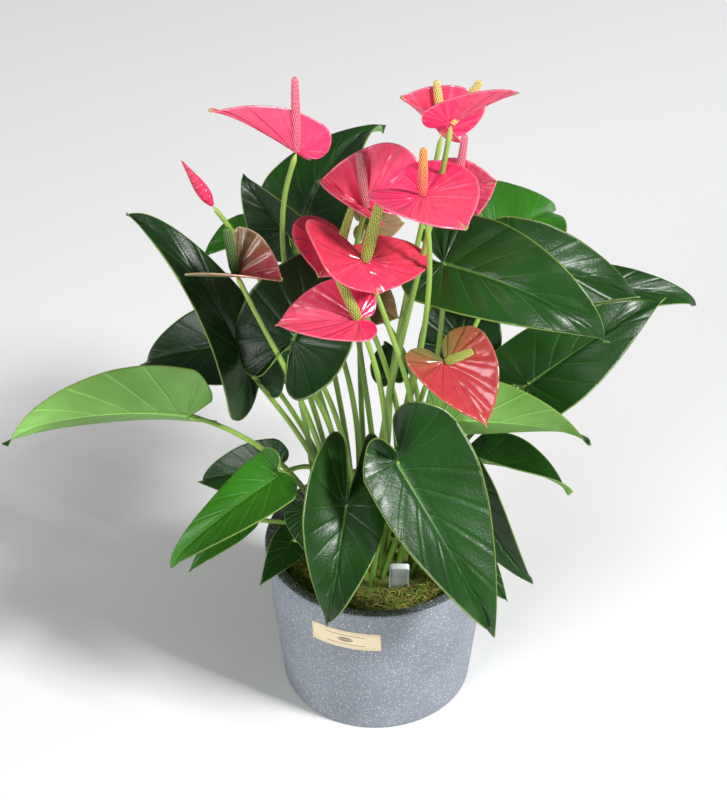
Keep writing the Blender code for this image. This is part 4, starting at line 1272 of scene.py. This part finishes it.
class ANTHURIUM_OT_moss(bpy.types.Operator):
    """Lays a lumpy ring of moss and roots its strands in it"""

    bl_idname = "anthurium.moss"
    bl_label = "Moss"

    def execute(self, context):
        settings = context.scene.anthurium_pot
        rng = np.random.default_rng(11)
        outer, low, high = MOSS_HIGH.x - 0.0005, MOSS_LOW.z, MOSS_HIGH.z
        colour = np.array(settings.moss_colour)
        tones = [("olive", colour), ("golden", colour * (1.9, 1.5, 1.3)),
                 ("green", colour * (0.7, 1.25, 0.9)), ("brown", colour * (0.8, 0.5, 0.6)),
                 ("straw", colour * (2.8, 2.4, 2.6))]
        skins = [rough_skin("moss_" + name, tint(tone, 0.8), tint(tone, 1.3), 900.0, 0.0004)
                 for name, tone in tones]
        width = outer - MOSS_OPENING - 2 * MOSS_EDGE
        profile = [(MOSS_OPENING, low), (outer, low), (outer, high - MOSS_BED),
                   (outer - MOSS_EDGE, high - 0.0025)]
        for ring in range(1, MOSS_RINGS):
            profile.append((outer - MOSS_EDGE - width * ring / MOSS_RINGS, high - 0.0022))
        profile.append((MOSS_OPENING, high - 0.005))
        cushion = turned_piece("moss_cushion", profile, 120, (skins[0],))
        for vertex in cushion.data.vertices:
            if vertex.co.z > low + MOSS_EDGE:
                turn = math.atan2(vertex.co.y, vertex.co.x)
                lump = MOSS_LUMP * math.sin(9 * turn + 400 * vertex.co.xy.length)
                vertex.co.z += lump - rng.random() * MOSS_PITS
        seat(cushion, "moss", "moss")
        spots, faces, tints = [], [], []
        pieces, sides = len(STRAND_THICKNESS) - 1, STRAND_SIDES
        for _ in range(settings.moss_strands):
            reach = math.sqrt(rng.uniform((MOSS_OPENING - 0.004) ** 2, (outer - 0.001) ** 2))
            turn = rng.random() * 2 * math.pi
            base = np.array((reach * math.cos(turn), reach * math.sin(turn), high - MOSS_BED))
            heading = rng.random() * 2 * math.pi
            length = rng.uniform(*STRAND_LENGTHS)
            lift = rng.uniform(*STRAND_LIFTS)
            swing = rng.normal(0, STRAND_SWING)
            path = []
            for step in range(pieces + 1):
                t = step / pieces
                bearing = heading + swing * t
                path.append(base + (length * t * math.cos(bearing), length * t * math.sin(bearing),
                                    lift * math.sin(math.pi * min(1, 0.15 + 0.85 * t))))
            if max(math.hypot(spot[0], spot[1]) for spot in path) > outer:
                continue
            thread = settings.thread * rng.uniform(0.5, 1.0)
            first = len(spots)
            strand = tube(path, thread * np.array(STRAND_THICKNESS), sides)[:, :sides]
            spots.extend(strand.reshape(-1, 3))
            for row in range(pieces):
                here, above = first + row * sides, first + (row + 1) * sides
                for side in range(sides):
                    after = (side + 1) % sides
                    faces.append((here + side, here + after, above + after, above + side))
            faces.append(tuple(range(first + sides - 1, first - 1, -1)))
            faces.append(tuple(range(first + pieces * sides, first + (pieces + 1) * sides)))
            tints.extend([int(rng.choice(len(tones), p=TONE_SHARES))] * (pieces * sides + 2))
        mesh = bpy.data.meshes.new("moss_strands")
        mesh.from_pydata([tuple(spot) for spot in spots], [], faces)
        for skin in skins:
            mesh.materials.append(skin)
        mesh.polygons.foreach_set("material_index", tints)
        mesh.shade_smooth()
        strands = bpy.data.objects.new("moss_strands", mesh)
        context.scene.collection.objects.link(strands)
        seat(strands, "moss")
        return {"FINISHED"}


class ANTHURIUM_OT_label(bpy.types.Operator):
    """Wraps the paper label on the pot's wall"""

    bl_idname = "anthurium.label"
    bl_label = "Label"

    def execute(self, context):
        settings = context.scene.anthurium_pot
        rows, columns = 5, 33
        middle = POT_HEIGHT - LABEL_BELOW_RIM
        spots = np.zeros((rows, columns, 3))
        for row in range(rows):
            height = middle + LABEL_HEIGHT * (row / (rows - 1) - 0.5)
            share = (height - POT_BASE_ROUND) / (POT_HEIGHT - POT_LIP_ROUND - POT_BASE_ROUND)
            radius = POT_BASE_RADIUS + share * (POT_RADIUS - POT_BASE_RADIUS) + LABEL_LIFT
            half_turn = LABEL_WIDTH / 2 / radius
            for column in range(columns):
                turn = LABEL_TURN + half_turn * (2 * column / (columns - 1) - 1)
                spots[row, column] = (radius * math.sin(turn), -radius * math.cos(turn), height)
        label = grid_piece("paper_label", spots, (label_skin("label_paper", settings),))
        seat(thicken(label, 0.0003), "label_paper", "label")
        return {"FINISHED"}


class ANTHURIUM_OT_plant_tag(bpy.types.Operator):
    """Cuts the blank plant tag, rounds its corners and leans it in the moss"""

    bl_idname = "anthurium.plant_tag"
    bl_label = "Plant Tag"

    def execute(self, context):
        settings = context.scene.anthurium_pot
        width, thickness, height = TAG_SIZE
        deselect()
        bpy.ops.mesh.primitive_cube_add(size=1, location=(0, 0, height / 2), scale=TAG_SIZE)
        tag = bpy.context.object
        tag.name = tag.data.name = "tag"
        bpy.ops.object.transform_apply(location=True, rotation=True, scale=True)
        bpy.ops.object.mode_set(mode="EDIT")
        bpy.ops.mesh.select_all(action="DESELECT")
        bpy.ops.object.mode_set(mode="OBJECT")
        for edge in tag.data.edges:
            ends = [tag.data.vertices[index].co for index in edge.vertices]
            edge.select = abs(ends[0].y - ends[1].y) > thickness / 2
        bpy.ops.object.mode_set(mode="EDIT")
        bpy.ops.mesh.select_mode(type="EDGE")
        bpy.ops.mesh.bevel(offset=width * 0.18, segments=5, affect="EDGES")
        bpy.ops.object.mode_set(mode="OBJECT")
        for vertex in tag.data.vertices:
            low, out = vertex.co.z, vertex.co.y
            vertex.co = (vertex.co.x + TAG_PLACE[0],
                         TAG_PLACE[1] + out * math.cos(TAG_LEAN) - low * math.sin(TAG_LEAN),
                         SOIL_TOP + 0.0005 + out * math.sin(TAG_LEAN) + low * math.cos(TAG_LEAN))
        skin = plastic_skin("tag_plastic", settings.tag_colour, 0.30, 400.0, 0.0001)
        tag.data.materials.append(skin)
        bpy.ops.object.shade_smooth_by_angle(angle=SMOOTH_ANGLE)
        seat(tag, "tag_plastic", "plant_tag")
        return {"FINISHED"}


class ANTHURIUM_OT_leaves(bpy.types.Operator):
    """Grows each leaf: its stalk with the knuckle below the blade, and its veined blade"""

    bl_idname = "anthurium.leaves"
    bl_label = "Leaves"

    def execute(self, context):
        settings = context.scene.anthurium_plant
        uppers = {"old": leaf_upper("leaf_old", settings, settings.dark_leaf_colour),
                  "grown": leaf_upper("leaf_grown", settings, settings.leaf_colour),
                  "young": leaf_upper("leaf_young", settings, settings.young_leaf_colour)}
        under = leaf_under("leaf_underside", settings)
        skin = stalk_skin("leaf_stalk", settings.stalk_foot_colour, settings.stalk_colour)
        for number, (row, stem) in enumerate(zip(LEAVES, routed_stems()[0])):
            name, joint, tip, face, half_width, lobe, fold, arch, twist, ripple, _ = row
            look = {"drift": 0.37 * number % 1, **LEAF_LOOK, **LEAF_LOOKS.get(name, {})}
            spots = blade_spots(place(joint), place(tip), face, half_width, lobe, fold, arch, twist,
                                ripple, look)
            blade = grid_piece(name + "_blade", spots, (uppers[look["tone"]], under))
            seat(thicken(blade, settings.leaf_thickness, 1), "leaf_green", name)
            stalk_piece(name + "_stalk", stem, LEAF_STALK_ROWS, knuckle, skin, name)
        return {"FINISHED"}


class ANTHURIUM_OT_flowers(bpy.types.Operator):
    """Grows each flower: its stalk, its spathe and its knobbly spadix"""

    bl_idname = "anthurium.flowers"
    bl_label = "Flowers"

    def execute(self, context):
        settings = context.scene.anthurium_plant
        main, pale = settings.spathe_colour, settings.spathe_pale_colour
        skins = {tone: spathe_skin("spathe_" + tone, settings, *values)
                 for tone, values in SPATHE_TONES.items()}
        skins["fresh"] = spathe_skin("spathe_fresh", settings, main, (0.80, 0.075, 0.150), pale,
                                     0.2, 0.9)
        under = spathe_skin("spathe_underside", settings, main, (0.66, 0.060, 0.130), pale,
                            0.3, 0.9, 0.34)
        dull = spathe_skin("spathe_dull_underside", settings, *DULL_UNDERSIDE)
        skin = stalk_skin("flower_stalk", settings.stalk_foot_colour, settings.stalk_colour)
        spadices = {name: spadix_skin("spadix_" + name, *tones)
                    for name, tones in SPADIX_TONES.items()}
        for row, stem in zip(FLOWERS, routed_stems()[1]):
            number, joint, tip, face, spadix_tip, half_width, lobe, fold, arch = row
            look = {"drift": 0.29 * int(number) % 1, **SPATHE_LOOK, **SPATHE_LOOKS.get(number, {})}
            spots = blade_spots(place(joint), place(tip), face, half_width, lobe, fold, arch, 0, 0,
                                look)
            back = under if look["tone"] in ("fresh", "deep") else dull
            spathe = grid_piece("bract_" + number, spots, (skins[look["tone"]], back))
            seat(thicken(spathe, settings.spathe_thickness, 1), "spathe_red", "spathe_" + number)
            node = "flower_stalk_" + number
            stalk_piece("peduncle_" + number, stem, FLOWER_STALK_ROWS, collar, skin, node)
            rod = self.spadix(number, place(joint), place(spadix_tip), look["girth"],
                              spadices[look["spadix"]])
            seat(rod, "stalk_green", node)
        return {"FINISHED"}

    def spadix(self, number, joint, tip, girth, skin):
        """A blunt rod of florets, slightly thicker below its middle and rounded at its tip."""
        rows, sides = SPADIX_GRID
        share = np.linspace(0, 1, rows)
        thick = girth * np.interp(share, *SPADIX_THICKNESS)
        thick = thick * np.sqrt(np.clip((1 - share) / 0.045, 0, 1)) ** 0.9
        path = joint + (tip - joint) * share[:, None]
        spots = tube(path, SPADIX_RADIUS * np.maximum(thick, 0.003), sides)
        turn = np.linspace(0, 2 * math.pi, sides + 1)[None, :] * SPADIX_SPIRALS
        rise = share[:, None] * 2 * math.pi * SPADIX_ROWS
        floret = (np.cos(turn + rise) + np.cos(turn - rise)) / 2
        out = spots - path[:, None, :]
        size = np.linalg.norm(out, axis=2, keepdims=True)
        swell = np.minimum(1, size / SPADIX_RADIUS) * SPADIX_FLORET
        spots = spots + out / np.maximum(size, 1e-9) * (floret[..., None] * swell)
        return grid_piece("spadix_" + number, spots, (skin,), True)


class ANTHURIUM_OT_bud(bpy.types.Operator):
    """Grows the flower bud, its spathe still rolled round the spadix"""

    bl_idname = "anthurium.bud"
    bl_label = "Flower Bud"

    def execute(self, context):
        settings = context.scene.anthurium_plant
        joint, tip, radius = place(BUD[0]), place(BUD[1]), BUD[2]
        stalk_piece("bud_stalk", routed_stems()[2], LEAF_STALK_ROWS, no_swelling,
                    bpy.data.materials["flower_stalk"], "flower_bud")
        rows, sides = BUD_GRID
        share = np.linspace(0, 1, rows)
        thick = resample(np.array(BUD_THICKNESS)[:, None], rows)[:, 0]
        thick[-1] = 0.004
        path = joint + (tip - joint) * share[:, None]
        spots = tube(path, radius * thick, sides)
        seam = (np.linspace(0, 1, sides + 1)[None, :] + share[:, None] * BUD_SEAM_TURN) % 1.0
        edge = np.clip(seam / 0.85, 0, 1) * 0.08 - 0.04
        out = spots - path[:, None, :]
        spots = spots + out * edge[..., None]
        rose = spathe_skin("bud_spathe", settings, settings.spathe_colour, (0.55, 0.045, 0.080),
                           settings.spathe_pale_colour, 0.0, 1.0, 0.32)
        seat(grid_piece("bud_spathe", spots, (rose,), True), "spathe_red", "flower_bud")
        return {"FINISHED"}


class ANTHURIUM_OT_stage(bpy.types.Operator):
    """Sets a plain pale floor, soft studio light and the camera"""

    bl_idname = "anthurium.stage"
    bl_label = "Stage"

    def execute(self, context):
        settings = context.scene.anthurium_stage
        deselect()
        bpy.ops.mesh.primitive_plane_add(size=FLOOR_SIZE)
        floor = bpy.context.object
        floor.name = "floor"
        shader = Shader("floor")
        grain = shader.noise(shader.coordinates(), 6.0, 3.0)
        tone = shader.mix(grain, tint(settings.floor_colour, 0.985), settings.floor_colour)
        floor.data.materials.append(shader.finish(tone, 0.8, Specular_IOR_Level=0.2))
        world = bpy.data.worlds.new("studio")
        context.scene.world = world
        world.use_nodes = True
        sky = world.node_tree.nodes["Background"].inputs
        sky["Color"].default_value = (1.0, 1.0, 1.0, 1.0)
        sky["Strength"].default_value = settings.sky
        for name, spot, size in LIGHTS:
            bpy.ops.object.light_add(type="AREA", location=spot)
            light = bpy.context.object
            light.name = light.data.name = name
            light.data.shape = "SQUARE"
            light.data.size = size
            light.data.energy = getattr(settings, name)
            ahead = Vector(LIGHT_AIM) - Vector(spot)
            light.rotation_euler = ahead.to_track_quat("-Z", "Y").to_euler()
        bpy.ops.object.camera_add(
            location=(settings.camera_beside, -settings.camera_distance, settings.camera_height),
            rotation=(settings.camera_tilt, 0, settings.camera_turn))
        camera = bpy.context.object
        camera.name = camera.data.name = "camera"
        camera.data.lens = settings.lens
        camera.data.sensor_width = 36.0
        camera.data.clip_end = 50.0
        context.scene.camera = camera
        context.scene.view_settings.view_transform = "Standard"
        return {"FINISHED"}


class ANTHURIUM_PT_panel(bpy.types.Panel):
    """Sizes and colours of the plant, and the pieces in the order in which they are made"""

    bl_idname = "ANTHURIUM_PT_panel"
    bl_label = "Potted Anthurium"
    bl_space_type = "VIEW_3D"
    bl_region_type = "UI"
    bl_category = "Anthurium"

    def draw(self, context):
        scene = context.scene
        for settings in (scene.anthurium_pot, scene.anthurium_plant, scene.anthurium_stage):
            box = self.layout.box()
            for key in settings.bl_rna.properties.keys():
                if key not in ("rna_type", "name"):
                    box.prop(settings, key)
        for operator in OPERATORS:
            self.layout.operator(operator.bl_idname)


OPERATORS = (
    ANTHURIUM_OT_cover_pot,
    ANTHURIUM_OT_nursery_pot,
    ANTHURIUM_OT_potting_mix,
    ANTHURIUM_OT_moss,
    ANTHURIUM_OT_label,
    ANTHURIUM_OT_plant_tag,
    ANTHURIUM_OT_leaves,
    ANTHURIUM_OT_flowers,
    ANTHURIUM_OT_bud,
    ANTHURIUM_OT_stage,
)
SETTINGS = {
    "anthurium_pot": AnthuriumPotSettings,
    "anthurium_plant": AnthuriumPlantSettings,
    "anthurium_stage": AnthuriumStageSettings,
}


def register():
    for entry in (*SETTINGS.values(), *OPERATORS, ANTHURIUM_PT_panel):
        bpy.utils.register_class(entry)
    for name, group in SETTINGS.items():
        setattr(bpy.types.Scene, name, bpy.props.PointerProperty(type=group))


def unregister():
    for name in SETTINGS:
        delattr(bpy.types.Scene, name)
    for entry in reversed((*SETTINGS.values(), *OPERATORS, ANTHURIUM_PT_panel)):
        bpy.utils.unregister_class(entry)


def main():
    register()
    for operator in OPERATORS:
        family, name = operator.bl_idname.split(".")
        getattr(getattr(bpy.ops, family), name)()
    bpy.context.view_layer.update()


if __name__ == "__main__":
    main()
